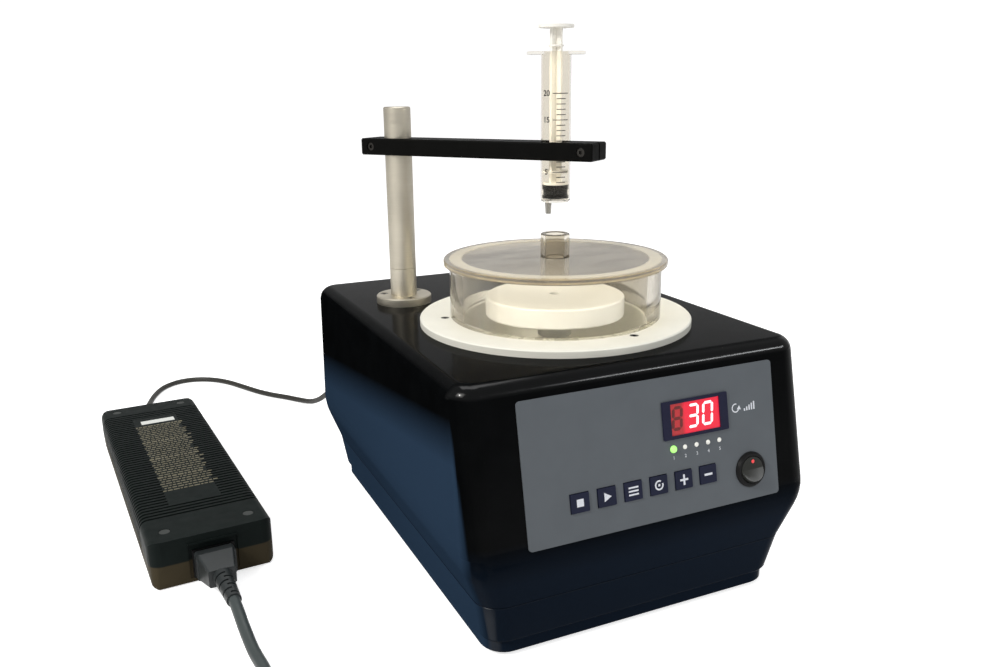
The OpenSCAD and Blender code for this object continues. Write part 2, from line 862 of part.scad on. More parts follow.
module spindle_shaft() {
    color([0.8, 0.8, 0.82])
    at_spindle(shaft_z)
        rotate_extrude()
            polygon([
                [0, 0], [shaft_r - 0.5, 0], [shaft_r, 0.5], [shaft_r, shaft_top_z - shaft_z - 0.5],
                [shaft_r - 0.5, shaft_top_z - shaft_z], [0, shaft_top_z - shaft_z]
            ]);
}

module motor_rotor() {
    color([0.35, 0.35, 0.37])
    at_spindle(can_z + 14)
        difference() {
            cylinder(d = can_d - 19.2, h = can_l - 20);
            translate([0, 0, -over]) cylinder(d = shaft_d, h = can_l);
        }
}

module chuck_hub() {
    color([0.78, 0.78, 0.8])
    at_spindle(hub_z)
        difference() {
            rotate_extrude()
                polygon([
                    [0, 0], [hub_d / 2 - 1, 0], [hub_d / 2, 1], [hub_d / 2, hub_l - 0.6],
                    [hub_d / 2 - 0.6, hub_l], [0, hub_l]
                ]);
            translate([0, 0, -over]) cylinder(d = shaft_d, h = shaft_top_z - hub_z + over);
            translate([0, 0, hub_l - 7]) cylinder(r = 2, h = 8);
            translate([0, 0, grub_z - hub_z]) rotate([0, 90, 0]) cylinder(r = 2, h = hub_d);
        }
}

module hub_grub_screw() {
    color([0.2, 0.2, 0.2])
    at_spindle(grub_z)
        rotate([0, 90, 0])
            translate([0, 0, shaft_r])
                difference() {
                    cylinder(r = 1.95, h = 6);
                    translate([0, 0, 3]) cylinder(r = 1, h = 4, $fn = 6);
                }
}

module chuck() {
    color([0.95, 0.95, 0.94])
    at_spindle(chuck_z)
        rotate_extrude($fn = 128)
            difference() {
                union() {
                    translate([0, 0]) square([chuck_d / 2 - chuck_round, chuck_t]);
                    translate([0, chuck_round]) square([chuck_d / 2, chuck_t - 2 * chuck_round]);
                    for (y = [chuck_round, chuck_t - chuck_round])
                        translate([chuck_d / 2 - chuck_round, y]) circle(r = chuck_round);
                }
                translate([-over, -over]) square([over + 2.1, chuck_t + 2]);
                translate([-over, -over]) square([over + hub_d / 2 + 0.05, hub_seat + over]);
                translate([-over, chuck_t - 5]) square([over + 3.8, 6]);
            }
}

module chuck_screw() {
    color([0.25, 0.25, 0.26])
    at_spindle(chuck_z + chuck_t - 5) screw(3.5, 3, 1.95, chuck_t - 5 - hub_seat + 6);
}

// ---------- lid ----------

lid_z = flange_z + ring_h;

module lid_plate() {
    color([0.8, 0.82, 0.8, 0.4])
    at_spindle(lid_z)
        rotate_extrude($fn = 128)
            polygon([
                [spout_bore / 2, 0], [lid_d / 2 - 0.6, 0], [lid_d / 2, 0.6], [lid_d / 2, lid_t - 0.6],
                [lid_d / 2 - 0.6, lid_t], [spout_bore / 2, lid_t]
            ]);
}

module lid_ring() {
    color([0.85, 0.87, 0.85, 0.4])
    at_spindle(flange_z)
        rotate_extrude($fn = 128)
            polygon([
                [ring_d / 2 - ring_t + 0.5, 0], [ring_d / 2 - 0.5, 0], [ring_d / 2, 0.5],
                [ring_d / 2, ring_h], [ring_d / 2 - ring_t, ring_h], [ring_d / 2 - ring_t, 0.5]
            ]);
}

module lid_spout() {
    color([0.85, 0.87, 0.85, 0.4])
    at_spindle(lid_z + lid_t)
        rotate_extrude()
            polygon([
                [spout_bore / 2, 0], [spout_d / 2, 0], [spout_d / 2, spout_h - 0.6],
                [spout_d / 2 - 0.6, spout_h], [spout_bore / 2 + 0.6, spout_h],
                [spout_bore / 2, spout_h - 0.6]
            ]);
}

// ---------- post and arm ----------

module post_base() {
    color([0.75, 0.75, 0.76])
    translate([post_x, post_y, top_z])
        difference() {
            rotate_extrude()
                polygon([
                    [0, 0], [post_flange_d / 2, 0], [post_flange_d / 2, post_flange_t - 0.8],
                    [post_flange_d / 2 - 0.8, post_flange_t], [post_d / 2, post_flange_t],
                    [post_d / 2, post_collar_h], [0, post_collar_h]
                ]);
            translate([0, 0, post_collar_h - stud_low]) cylinder(d = stud_d, h = stud_low + over);
            ring_of(3, post_screw_r, 30) {
                translate([0, 0, -over]) cylinder(r = 1.8, h = post_flange_t + 2);
                translate([0, 0, post_flange_t - screw_head_h]) cylinder(r = 3.1, h = 4);
            }
        }
}

module post_base_screws() {
    color([0.5, 0.5, 0.52])
    translate([post_x, post_y, top_z + post_flange_t - screw_head_h])
        ring_of(3, post_screw_r, 30) screw(2.9, screw_head_h - 0.3, 1.7, post_flange_t + wall + 1);
}

module post_backing_plate() {
    color([0.6, 0.6, 0.62])
    translate([post_x, post_y, top_z - wall - 4])
        difference() {
            linear_extrude(4) round_rect(post_flange_d, post_flange_d, 4);
            translate([0, 0, -over]) ring_of(3, post_screw_r, 30) cylinder(r = 1.75, h = 6);
        }
}

module post_stud() {
    color([0.6, 0.6, 0.62])
    translate([post_x, post_y, collar_top_z - stud_low])
        rotate_extrude()
            polygon([
                [0, 0], [stud_d / 2, 0], [stud_d / 2, stud_low], [stud_d / 2 - 0.06, stud_low],
                [stud_d / 2 - 0.06, stud_low + stud_up - 1], [stud_d / 2 - 1, stud_low + stud_up],
                [0, stud_low + stud_up]
            ]);
}

module post() {
    color([0.78, 0.78, 0.79])
    translate([post_x, post_y, collar_top_z])
        difference() {
            rotate_extrude()
                polygon([
                    [0, 0], [post_d / 2 - 0.3, 0], [post_d / 2, 0.3],
                    [post_d / 2, post_top_z - collar_top_z - 0.8],
                    [post_d / 2 - 0.8, post_top_z - collar_top_z], [0, post_top_z - collar_top_z]
                ]);
            translate([0, 0, -over]) cylinder(d = stud_d, h = stud_up + 2);
        }
}

arm_l = arm_tail + arm_reach + arm_nose;
clamp_xs = [-arm_tail + clamp_set, arm_reach + arm_nose - clamp_set];

module dispense_arm() {
    color([0.04, 0.04, 0.04])
    at_post(arm_z)
        difference() {
            hull() {
                translate([-arm_tail, -arm_w / 2 + 1, 1]) cube([arm_l, arm_w - 2, arm_t - 2]);
                translate([-arm_tail + 1, -arm_w / 2, 1]) cube([arm_l - 2, arm_w, arm_t - 2]);
                translate([-arm_tail + 1, -arm_w / 2 + 1, 0]) cube([arm_l - 2, arm_w - 2, arm_t]);
            }
            translate([0, 0, -over]) cylinder(r = post_d / 2 + arm_gap, h = arm_t + 2);
            translate([arm_reach, 0, -over]) cylinder(r = barrel_d / 2 + arm_gap, h = arm_t + 2);
            translate([-arm_tail - over, -slit_w / 2, -over]) cube([arm_tail + over, slit_w, arm_t + 2]);
            translate([arm_reach, -slit_w / 2, -over]) cube([arm_nose + over, slit_w, arm_t + 2]);
            for (x = clamp_xs)
                translate([x, 0, arm_t / 2]) rotate([90, 0, 0]) {
                    translate([0, 0, -arm_w]) cylinder(r = 1.8, h = 2 * arm_w);
                    translate([0, 0, arm_w / 2 - 4]) cylinder(r = 3.1, h = 5);
                }
        }
}

module arm_clamp_screws() {
    color([0.35, 0.35, 0.36])
    at_post(arm_z)
        for (x = clamp_xs)
            translate([x, -arm_w / 2 + 4, arm_t / 2]) rotate([90, 0, 0]) screw(2.9, 3, 1.7, arm_w - 6);
}

// ---------- syringe ----------

module syringe_barrel() {
    color([0.85, 0.87, 0.86, 0.4])
    at_spindle(shoulder_z)
        difference() {
            union() {
                rotate_extrude()
                    polygon([
                        [0, 0], [barrel_d / 2 - 1.2, 0], [barrel_d / 2, 1.2], [barrel_d / 2, barrel_l],
                        [0, barrel_l]
                    ]);
                translate([0, 0, barrel_l - finger_t]) finger_flange();
                rotate([0, 0, nozzle_turn]) translate([nozzle_off, 0, -nozzle_l])
                    cylinder(r1 = 1.9, r2 = 2.4, h = nozzle_l + thin);
            }
            translate([0, 0, 1.6]) cylinder(r = bore_r, h = barrel_l);
            rotate([0, 0, nozzle_turn]) translate([nozzle_off, 0, -nozzle_l - over])
                cylinder(r = 0.9, h = nozzle_l + 4);
        }
}

// Finger flange: a disc cut to two flats, across the view of the scale
module finger_flange() {
    rotate([0, 0, -25])
        intersection() {
            cylinder(d = finger_w, h = finger_t);
            translate([-finger_w, -barrel_d / 2 - 2, -over])
                cube([2 * finger_w, barrel_d + 4, finger_t + 2]);
        }
}

module syringe_plunger() {
    color([0.93, 0.94, 0.93])
    at_spindle(0) {
        rod_z = piston_z + piston_l;
        translate([0, 0, rod_z]) rotate([0, 0, 20]) linear_extrude(thumb_z - thumb_t - rod_z + thin) {
            square([rod_w, 1.6], center = true);
            square([1.6, rod_w], center = true);
        }
        translate([0, 0, rod_z]) cylinder(r = bore_r - 0.6, h = 1.5);
        translate([0, 0, rod_z + 8]) cylinder(r = bore_r - 0.6, h = 1.5);
        translate([0, 0, finger_z + 3]) cylinder(d = rod_w, h = 1.2);
        translate([0, 0, thumb_z - thumb_t]) cylinder(d = thumb_d, h = thumb_t);
        translate([0, 0, rod_z - 3]) cylinder(r = 3, h = 3 + thin);
    }
}

module syringe_piston() {
    color([0.05, 0.05, 0.05])
    at_spindle(piston_z)
        rotate_extrude()
            polygon([
                [0, 0], [3, 0], [bore_r - piston_gap, 1], [bore_r - piston_gap, 2.6],
                [bore_r - 0.9, 3.2], [bore_r - 0.9, piston_l - 3.6], [bore_r - piston_gap, piston_l - 3],
                [bore_r - piston_gap, piston_l], [3, piston_l], [3, piston_l - 3], [0, piston_l - 3]
            ]);
}

// ---------- front panel ----------

module front_panel() {
    color([0.5, 0.52, 0.54])
    on_face()
        difference() {
            translate([panel_x, panel_up + panel_h / 2, panel_seat])
                linear_extrude(panel_t - panel_seat) round_rect(panel_w, panel_h, 2.5);
            for (i = [0 : 5])
                translate([key_x + i * key_pitch, key_y, 0])
                    cube([key_w + 2 * key_gap, key_h + 2 * key_gap, 4], center = true);
            for (i = [0 : 4])
                translate([lamp_x + i * lamp_pitch, lamp_y, -over]) cylinder(d = lamp_d + 0.2, h = 4);
            translate([display_x, display_y, 0])
                cube([window_w + 0.4, window_h + 0.4, 4], center = true);
            translate([switch_x, switch_y, -over]) cylinder(d = switch_body_d + 0.2, h = 4);
        }
}

module display_bezel() {
    color([0.06, 0.07, 0.14])
    on_face()
        translate([display_x, display_y, panel_t])
            difference() {
                linear_extrude(1) round_rect(window_w + 2 * bezel_side, window_h + 2 * bezel_edge, 0.8);
                cube([window_w, window_h, 4], center = true);
            }
}

module display_module() {
    color([0.45, 0.02, 0.03])
    on_face()
        translate([display_x - window_w / 2, display_y - window_h / 2, -board_back])
            cube([window_w, window_h, board_back + panel_t]);
}

module indicator_lamps() {
    color([0.85, 0.9, 0.85])
    on_face()
        for (i = [0 : 4])
            translate([lamp_x + i * lamp_pitch, lamp_y, 0]) {
                translate([0, 0, -board_back]) cylinder(d = lamp_d, h = board_back + panel_t);
                translate([0, 0, panel_t])
                    intersection() {
                        translate([0, 0, -lamp_d / 4]) sphere(d = 1.15 * lamp_d);
                        cylinder(d = lamp_d, h = lamp_d);
                    }
            }
}

// One key: the cap, a rim that keeps it in, and a stem
module key_cap(i) {
    color([0.12, 0.14, 0.32])
    on_face()
        translate([key_x + i * key_pitch, key_y, 0]) {
            translate([0, 0, inner_face - 0.1]) linear_extrude(panel_t + key_proud - inner_face + 0.1)
                round_rect(key_w, key_h, 0.6);
            translate([0, 0, inner_face - 1.3])
                linear_extrude(1.25) round_rect(key_w + 2.4, key_h + 2.4, 0.6);
            translate([0, 0, stem_low]) cylinder(r = 2, h = inner_face - 1.2 - stem_low);
        }
}

switch_top = 3.4 - board_back;
stem_low = switch_top + key_travel + 0.15;

module key_switches() {
    color([0.1, 0.1, 0.1])
    on_face()
        for (i = [0 : 5])
            translate([key_x + i * key_pitch, key_y, 0]) {
                translate([-3, -3, -board_back]) cube([6, 6, 2.6]);
                translate([0, 0, -board_back]) cylinder(r = 1.7, h = 3.4);
            }
}

module control_board() {
    color([0.05, 0.3, 0.15])
    on_face()
        translate([0, 0, -board_back - board_t])
            difference() {
                translate([board_left, board_low, 0])
                    cube([board_right - board_left, board_high - board_low, board_t]);
                board_spots() translate([0, 0, -over]) cylinder(r = 1.6, h = 4);
            }
}

// The four fixings of the control board
module board_spots() {
    for (x = [board_left + 4, board_right - 4], y = [board_low + 4, board_high - 4])
        translate([x, y, 0]) children();
}

module board_spacers() {
    color([0.8, 0.75, 0.5])
    on_face()
        board_spots() {
            translate([0, 0, -board_back]) cylinder(r = 2.5, h = board_back + inner_face - 0.05);
            translate([0, 0, -board_back - board_t - 2]) cylinder(r = 1.5, h = board_t + 2 + thin);
            translate([0, 0, -board_back - board_t - 2]) cylinder(r = 2.6, h = 2);
        }
}

rocker_z = panel_t + 0.6;

module switch_body() {
    color([0.04, 0.04, 0.04])
    on_face()
        translate([switch_x, switch_y, 0])
            difference() {
                union() {
                    translate([0, 0, -22]) cylinder(d = switch_body_d, h = 22 + panel_t + thin);
                    translate([0, 0, panel_t])
                        rotate_extrude()
                            polygon([
                                [0, 0], [switch_bezel_d / 2, 0], [switch_bezel_d / 2, 0.8],
                                [switch_bezel_d / 2 - 1.2, 2.2], [0, 2.2]
                            ]);
                    for (x = [-4, 4]) translate([x - 0.4, -3, -30]) cube([0.8, 6, 9]);
                }
                translate([0, 0, rocker_z - 6.4]) cylinder(r = rocker_r + 0.35, h = 12);
                translate([0, 0, rocker_z]) rotate([0, 90, 0])
                    cylinder(r = rocker_pin_r + 0.06, h = 2 * rocker_r + 2, center = true);
            }
}

module switch_rocker() {
    color([0.09, 0.09, 0.09])
    on_face()
        translate([switch_x, switch_y, rocker_z]) rotate([-rocker_tilt, 0, 0]) {
            intersection() {
                sphere(r = rocker_r);
                translate([-rocker_r, 0, 0]) rotate([90, 0, 90]) linear_extrude(2 * rocker_r)
                    polygon([
                        [-rocker_r, -3], [rocker_r, -3],
                        [rocker_r, 1.8 + rocker_r * tan(rocker_tilt)], [0, 1.8],
                        [-rocker_r, 1.8 + rocker_r * tan(rocker_tilt)]
                    ]);
            }
            rotate([0, 90, 0]) cylinder(r = rocker_pin_r, h = 2 * rocker_r + 1.8, center = true);
        }
}

// ---------- rear and boards ----------

module dc_socket() {
    color([0.7, 0.7, 0.72])
    translate([socket_x, rear_y, socket_z])
        rotate([-90, 0, 0]) {
            translate([0, 0, -14]) cylinder(d = socket_d, h = 14 + thin);
            cylinder(d = socket_d + 3.4, h = socket_lip);
            translate([0, 0, -wall - 3])
                difference() {
                    cylinder(d = socket_d + 6, h = 3, $fn = 6);
                    translate([0, 0, -over]) cylinder(d = socket_d, h = 6);
                }
            ring_of(4, 3, 45) translate([0, 0, -20]) cylinder(r = 0.8, h = 7);
        }
}

driver_y = rear_y - 62;

module driver_board() {
    color([0.05, 0.3, 0.15])
    translate([0, driver_y, floor_z + 8])
        difference() {
            translate([-55, -38, 0]) cube([110, 76, board_t]);
            translate([0, 0, -over]) four(50, 33) cylinder(r = 1.6, h = 4);
        }
}

module driver_spacers() {
    color([0.8, 0.75, 0.5])
    translate([0, driver_y, floor_z]) four(50, 33) {
        cylinder(r = 3, h = 8);
        cylinder(r = 1.5, h = 8 + board_t + 2);
        translate([0, 0, 8 + board_t]) cylinder(r = 2.6, h = 2);
    }
}

module heat_sink() {
    color([0.6, 0.6, 0.62])
    translate([-30, driver_y - 20, floor_z + 8 + board_t]) {
        cube([60, 40, 4]);
        for (i = [0 : 8]) translate([i * 7.2, 0, 3]) cube([2.4, 40, 20]);
    }
}

// ---------- adapter and cables ----------

module dc_plug() {
    color([0.1, 0.1, 0.1])
    translate([socket_x, rear_y + socket_lip, socket_z])
        rotate([-90, 0, 0])
            rotate_extrude()
                polygon([
                    [0, 0], [8.2, 0], [8.5, 0.3], [8.5, 20], [7.5, 23], [5.2, 25], [5, 30], [4.4, 31],
                    [4.8, 35], [4.1, 36], [4.4, 40], [3.8, 41], [3.8, 46], [0, 46]
                ]);
}

module dc_cable() {
    color([0.12, 0.12, 0.12]) tube(smooth(dc_route, 2), dc_d);
}

// Cross-section of the adapter case, inset by in
module adapter_section(in) {
    translate([0, adapter_h / 2])
        round_rect(adapter_w - 2 * in, adapter_h - 2 * in, adapter_edge_r);
}

groove_n = floor((adapter_l - front_cap_l - rear_cap_l) / groove_pitch);
label_w = 0.44 * adapter_w;

module adapter_case() {
    color([0.06, 0.06, 0.06])
    at_adapter(pad_h) {
        translate([-recess_w / 2, -adapter_l / 2 - 0.8, inlet_z - pad_h + inlet_h / 2 + recess_over])
            cube([recess_w, 0.8 + over, 1.2]);
        difference() {
            intersection() {
                translate([0, adapter_l / 2, 0])
                    rotate([90, 0, 0]) linear_extrude(adapter_l) adapter_section(0);
                translate([0, 0, -over])
                    linear_extrude(adapter_h + 2) round_rect(adapter_w, adapter_l, adapter_corner_r);
            }
            adapter_grooves();
            adapter_relief();
            translate([0, -adapter_l / 2 + inlet_deep / 2 - over, inlet_z - pad_h])
                cube([inlet_w + 0.1, inlet_deep + 2 * over, inlet_h + 0.1], center = true);
            translate([-recess_w / 2, -adapter_l / 2 - over, inlet_z - pad_h - inlet_h / 2])
                cube([recess_w, recess_deep + over, inlet_h + recess_over]);
            for (y = [-adapter_l / 2 + 16, adapter_l / 2 - 11], sx = [-1, 1])
                translate([sx * (adapter_w / 2 - 14), y, adapter_h - 0.5]) cylinder(r = 4, h = 2);
        }
    }
}

// Draft of the lower shell: four planes that lean in below the seam
module adapter_relief() {
    translate([0, 0, adapter_split]) {
        for (side = [0, 180])
            rotate([0, 0, side]) translate([0, -adapter_l / 2, 0]) rotate([adapter_draft, 0, 0])
                translate([-adapter_w, -10, -2 * adapter_h]) cube([2 * adapter_w, 10, 2 * adapter_h]);
        for (side = [90, -90])
            rotate([0, 0, side]) translate([0, -adapter_w / 2, 0]) rotate([adapter_draft, 0, 0])
                translate([-adapter_l, -10, -2 * adapter_h]) cube([2 * adapter_l, 10, 2 * adapter_h]);
    }
}

// Cooling grooves round the top and sides, stopped at the label field
module adapter_grooves() {
    difference() {
        for (i = [0 : groove_n - 1])
            translate([0, -adapter_l / 2 + front_cap_l + (i + 1) * groove_pitch, 0])
                rotate([90, 0, 0]) linear_extrude(groove_w)
                    difference() {
                        translate([0, adapter_h])
                            square([2 * adapter_w, 2 * adapter_h - 8], center = true);
                        adapter_section(groove_deep);
                    }
        translate([-label_w / 2, -adapter_l / 2 + front_cap_l + 20, adapter_h / 2])
            cube([label_w, adapter_l - front_cap_l - rear_cap_l - 40, adapter_h]);
    }
}

// Rubber pads, mains inlet with its pins, and the gland of the low-voltage cable
module adapter_fittings() {
    color([0.1, 0.1, 0.1])
    at_adapter() {
        four(adapter_w / 2 - 12, adapter_l / 2 - 14) cylinder(r = 6, h = pad_h);
        translate([0, -adapter_l / 2, inlet_z]) {
            difference() {
                translate([-inlet_w / 2, 0, -inlet_h / 2]) cube([inlet_w, inlet_deep, inlet_h]);
                translate([-inlet_w / 2 + inlet_wall, -over, -inlet_h / 2 + inlet_wall])
                    cube([inlet_in_w, inlet_deep - inlet_wall + over, inlet_in_h]);
            }
            for (x = [-7, 0, 7])
                translate([x - 1, 3, x == 0 ? 1 : -4]) cube([2, inlet_deep - inlet_wall - 3 + thin, 4]);
        }
        translate([0, adapter_l / 2, adapter_mid_z])
            rotate([-90, 0, 0])
                rotate_extrude()
                    polygon([
                        [0, 0], [6, 0], [6, 2], [4.8, 3], [5, 6], [4.2, 7], [4.5, 11], [3.9, 12],
                        [3.9, gland_l], [0, gland_l]
                    ]);
    }
}

module mains_connector() {
    nose_w = inlet_in_w - 0.6;
    nose_h = inlet_in_h - 0.6;
    color([0.12, 0.12, 0.12])
    at_adapter(inlet_z)
        translate([0, -adapter_l / 2, 0]) {
            difference() {
                translate([-nose_w / 2, -0.5, -nose_h / 2])
                    cube([nose_w, inlet_deep - inlet_wall - 1, nose_h]);
                for (x = [-7, 0, 7])
                    translate([x - 1.4, 2.4, x == 0 ? 0.6 : -4.4]) cube([2.8, inlet_deep, 4.8]);
            }
            translate([0, -0.4, 0])
                rotate([90, 0, 0]) linear_extrude(grip_y - 0.4) round_rect(nose_w + 3, nose_h + 3, 2.5);
            hull() {
                translate([0, -grip_y + thin, 0.4])
                    rotate([90, 0, 0]) linear_extrude(thin) round_rect(nose_w + 1, nose_h + 3.8, 2);
                translate([0, -connector_l + 1, -0.5])
                    rotate([90, 0, 0]) linear_extrude(1) round_rect(18.5, 12.5, 1.5);
            }
            translate([0, -connector_l - boot_l, 0]) rotate([-90, 0, 0]) slotted_boot();
        }
}

// Tapered boot of the connector, slotted from one side and the other in turn
module slotted_boot() {
    difference() {
        cylinder(r1 = cord_d / 2 + 1, r2 = cord_d / 2 + 2.6, h = boot_l + thin);
        for (i = [0 : 5])
            translate([0, 0, 2.4 + i * 5])
                rotate([0, 0, i % 2 * 180])
                    difference() {
                        translate([-1, -10, 0]) cube([12, 20, 1.8]);
                        cylinder(d = cord_d + 0.2, h = 1.8);
                    }
    }
}

module mains_cord() {
    color([0.12, 0.12, 0.12]) {
        tube(mains_route, cord_d);
        tube(lead_route, cord_d);
    }
}

// Outer shape of the coil, with the band that ties it
module cord_coil() {
    color([0.12, 0.12, 0.12])
    translate([coil_x, coil_y, tie_t])
        rotate_extrude()
            polygon([
                [coil_r - coil_pitch - cord_d / 2, 0], [coil_r + coil_pitch + cord_d / 2, 0],
                [coil_r + coil_pitch + cord_d / 2, cord_d / 2],
                [coil_r + coil_pitch / 2 + cord_d / 2, coil_rise + cord_d],
                [coil_r - coil_pitch / 2 - cord_d / 2, coil_rise + cord_d],
                [coil_r - coil_pitch - cord_d / 2, cord_d / 2]
            ]);
}

module mains_plug() {
    color([0.12, 0.12, 0.12])
    translate([plug_x, plug_y, plug_z]) {
        hull() {
            translate([0, -6, -5.5]) cube([1, 12, 11]);
            translate([14, -12, -12]) cube([22, 24, 24]);
        }
        translate([-16, 0, 0]) rotate([0, 90, 0]) cylinder(r1 = 4.2, r2 = 5.4, h = 16 + thin);
        for (s = [-1, 1]) translate([36 - thin, s * 6.35 - 0.75, 0]) cube([16, 1.5, 6.3]);
        translate([36 - thin, 0, -6]) rotate([0, 90, 0]) cylinder(d = 4.8, h = 18);
    }
}

// ---------- assembly ----------

upper_cover();
base_tray();
rubber_feet();
case_screws();
splash_bowl();
bowl_screws();
motor_plate();
plate_standoffs();
plate_screws();
motor_can();
motor_end_bell();
motor_stator();
motor_bearings();
motor_screws();
spindle_shaft();
motor_rotor();
chuck_hub();
hub_grub_screw();
chuck();
chuck_screw();
lid_plate();
lid_ring();
lid_spout();
post_base();
post_base_screws();
post_backing_plate();
post_stud();
post();
dispense_arm();
arm_clamp_screws();
syringe_barrel();
syringe_plunger();
syringe_piston();
front_panel();
display_bezel();
display_module();
indicator_lamps();
key_cap(0);  // key_stop
key_cap(1);  // key_run
key_cap(2);  // key_set
key_cap(3);  // key_view
key_cap(4);  // key_plus
key_cap(5);  // key_minus
key_switches();
control_board();
board_spacers();
switch_body();
switch_rocker();
dc_socket();
driver_board();
driver_spacers();
heat_sink();
dc_plug();
dc_cable();
adapter_case();
adapter_fittings();
mains_connector();
mains_cord();
cord_coil();
mains_plug();
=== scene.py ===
import math

import bmesh
import bpy
from mathutils import Matrix, Vector


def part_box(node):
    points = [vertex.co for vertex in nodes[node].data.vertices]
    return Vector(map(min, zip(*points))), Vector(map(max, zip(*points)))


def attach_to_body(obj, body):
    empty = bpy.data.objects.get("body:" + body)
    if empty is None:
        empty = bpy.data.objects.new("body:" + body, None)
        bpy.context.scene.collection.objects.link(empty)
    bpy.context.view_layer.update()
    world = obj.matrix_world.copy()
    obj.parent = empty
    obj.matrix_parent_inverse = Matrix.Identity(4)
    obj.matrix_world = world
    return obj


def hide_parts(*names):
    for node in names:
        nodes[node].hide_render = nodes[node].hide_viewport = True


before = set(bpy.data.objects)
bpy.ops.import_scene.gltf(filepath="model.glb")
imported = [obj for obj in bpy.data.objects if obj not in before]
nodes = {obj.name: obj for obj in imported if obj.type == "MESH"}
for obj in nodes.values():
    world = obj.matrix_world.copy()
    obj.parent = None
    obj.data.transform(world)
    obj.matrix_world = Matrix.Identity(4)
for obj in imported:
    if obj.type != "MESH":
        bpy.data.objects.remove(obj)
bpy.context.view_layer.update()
scene = bpy.context.scene
MM = 0.001

# ---------------------------------------------------------------- camera
AZ, PITCH, ROLL = (math.radians(a) for a in (24.76, 15.47, -0.60))
FOCAL_PX, FRAME_PX = 906.13, 1000
CAMERA_AT = (-0.2974, -0.5858, 0.3362)


def aim_matrix():
    """Turn of a camera that looks along the photograph's bearing, pitch and roll."""
    forward = Vector((math.sin(AZ) * math.cos(PITCH), math.cos(AZ) * math.cos(PITCH), -math.sin(PITCH)))
    level = Vector((math.cos(AZ), -math.sin(AZ), 0))
    upward = level.cross(forward)
    right = math.cos(ROLL) * level + math.sin(ROLL) * upward
    up = -math.sin(ROLL) * level + math.cos(ROLL) * upward
    return Matrix((right, up, -forward)).transposed().to_4x4()


cam_data = bpy.data.cameras.new("camera")
cam_data.sensor_width = 36
cam_data.lens = FOCAL_PX / FRAME_PX * cam_data.sensor_width
cam_data.clip_start = 0.02
cam_data.clip_end = 50
camera = bpy.data.objects.new("camera", cam_data)
scene.collection.objects.link(camera)
camera.matrix_world = Matrix.Translation(CAMERA_AT) @ aim_matrix()
scene.camera = camera


# ---------------------------------------------------------------- small helpers
def rgb(r, g, b):
    """Display values 0-255 to the linear colour that a shader takes."""
    def one(v):
        v /= 255
        return v / 12.92 if v <= 0.04045 else ((v + 0.055) / 1.055) ** 2.4
    return (one(r), one(g), one(b), 1)


def link(ob):
    """Put an object into the scene."""
    scene.collection.objects.link(ob)
    return ob


def mesh_object(name, verts, faces, smooth=True):
    """Object from vertices and faces, with every face turned outwards."""
    mesh = bpy.data.meshes.new(name)
    mesh.from_pydata([tuple(v) for v in verts], [], faces)
    solid = bmesh.new()
    solid.from_mesh(mesh)
    bmesh.ops.recalc_face_normals(solid, faces=solid.faces)
    solid.to_mesh(mesh)
    solid.free()
    if smooth:
        mesh.polygons.foreach_set("use_smooth", [True] * len(mesh.polygons))
    mesh.update()
    return link(bpy.data.objects.new(name, mesh))


def curve_object(name, points, radius, sides=4):
    """Round cord through the points, as one open spline."""
    curve = bpy.data.curves.new(name, "CURVE")
    curve.dimensions = "3D"
    curve.bevel_depth = 1
    curve.bevel_resolution = sides
    curve.use_fill_caps = True
    spline = curve.splines.new("POLY")
    spline.points.add(len(points) - 1)
    for point, place in zip(spline.points, points):
        point.co = (*place, 1)
        point.radius = radius
    spline.use_smooth = True
    return link(bpy.data.objects.new(name, curve))


def catmull(points, steps):
    """Smooth line through points: the same line as the CAD tube follows."""
    pts = [Vector(p) for p in points]
    last = len(pts) - 1
    out = []
    for i in range(last):
        a, b, c, d = pts[max(i - 1, 0)], pts[i], pts[i + 1], pts[min(i + 2, last)]
        for s in range(steps):
            t = s / steps
            bend = (2 * a - 5 * b + 4 * c - d) + t * (3 * b - a - 3 * c + d)
            out.append(b + 0.5 * t * ((c - a) + t * bend))
    out.append(pts[-1])
    return out


# ---------------------------------------------------------------- cords, with their routes in mm
DC_D = 5.5 * MM
MAINS_D = 7.8 * MM
DC_ROUTE = [
    (-70, 212.5, 70), (-70.5, 228, 69), (-73, 246, 63), (-77.5, 264, 52.5), (-82.5, 283, 39),
    (-87.5, 302, 25.5), (-92, 321, 14), (-97, 340, 6.5), (-104.5, 359, 3.4), (-116, 376, 3),
    (-129, 392, 3), (-141, 411, 3), (-152.5, 434, 3), (-165, 458, 3), (-180, 476, 3),
    (-198, 486, 3), (-217, 485.5, 3), (-234, 472.5, 3), (-246, 449, 3), (-254, 422, 3),
    (-258.8, 397, 4.2), (-261, 376, 9.5), (-261.7, 358, 15.6), (-261.6, 345, 18.4),
    (-261.7, 334.5, 18.75),
]
MAINS_ROUTE = [
    (-237.5, -39.7, 14.5), (-236.9, -51, 13.2), (-236.2, -63, 10.2), (-235.2, -75, 7),
    (-234, -88, 4.8), (-231.9, -104, 4.1), (-230.6, -121, 4.1), (-229.4, -141, 4.3),
    (-228.6, -161, 4.6), (-228.2, -182, 4.9),
]
LEAD_ROUTE = [
    (-165, -250.8, 12.2), (-151, -250, 11.3), (-137, -248.7, 11), (-124, -247.5, 11.6),
    (-112.5, -247, 12.5),
]
COIL_X, COIL_Y = -179.2, -202
TURN_GAP = 7.8
MID_R = 41.2
INNER_R, OUTER_R = MID_R - TURN_GAP, MID_R + TURN_GAP
LOW_LAYER = 4.9
TOP_LAYER = LOW_LAYER + TURN_GAP
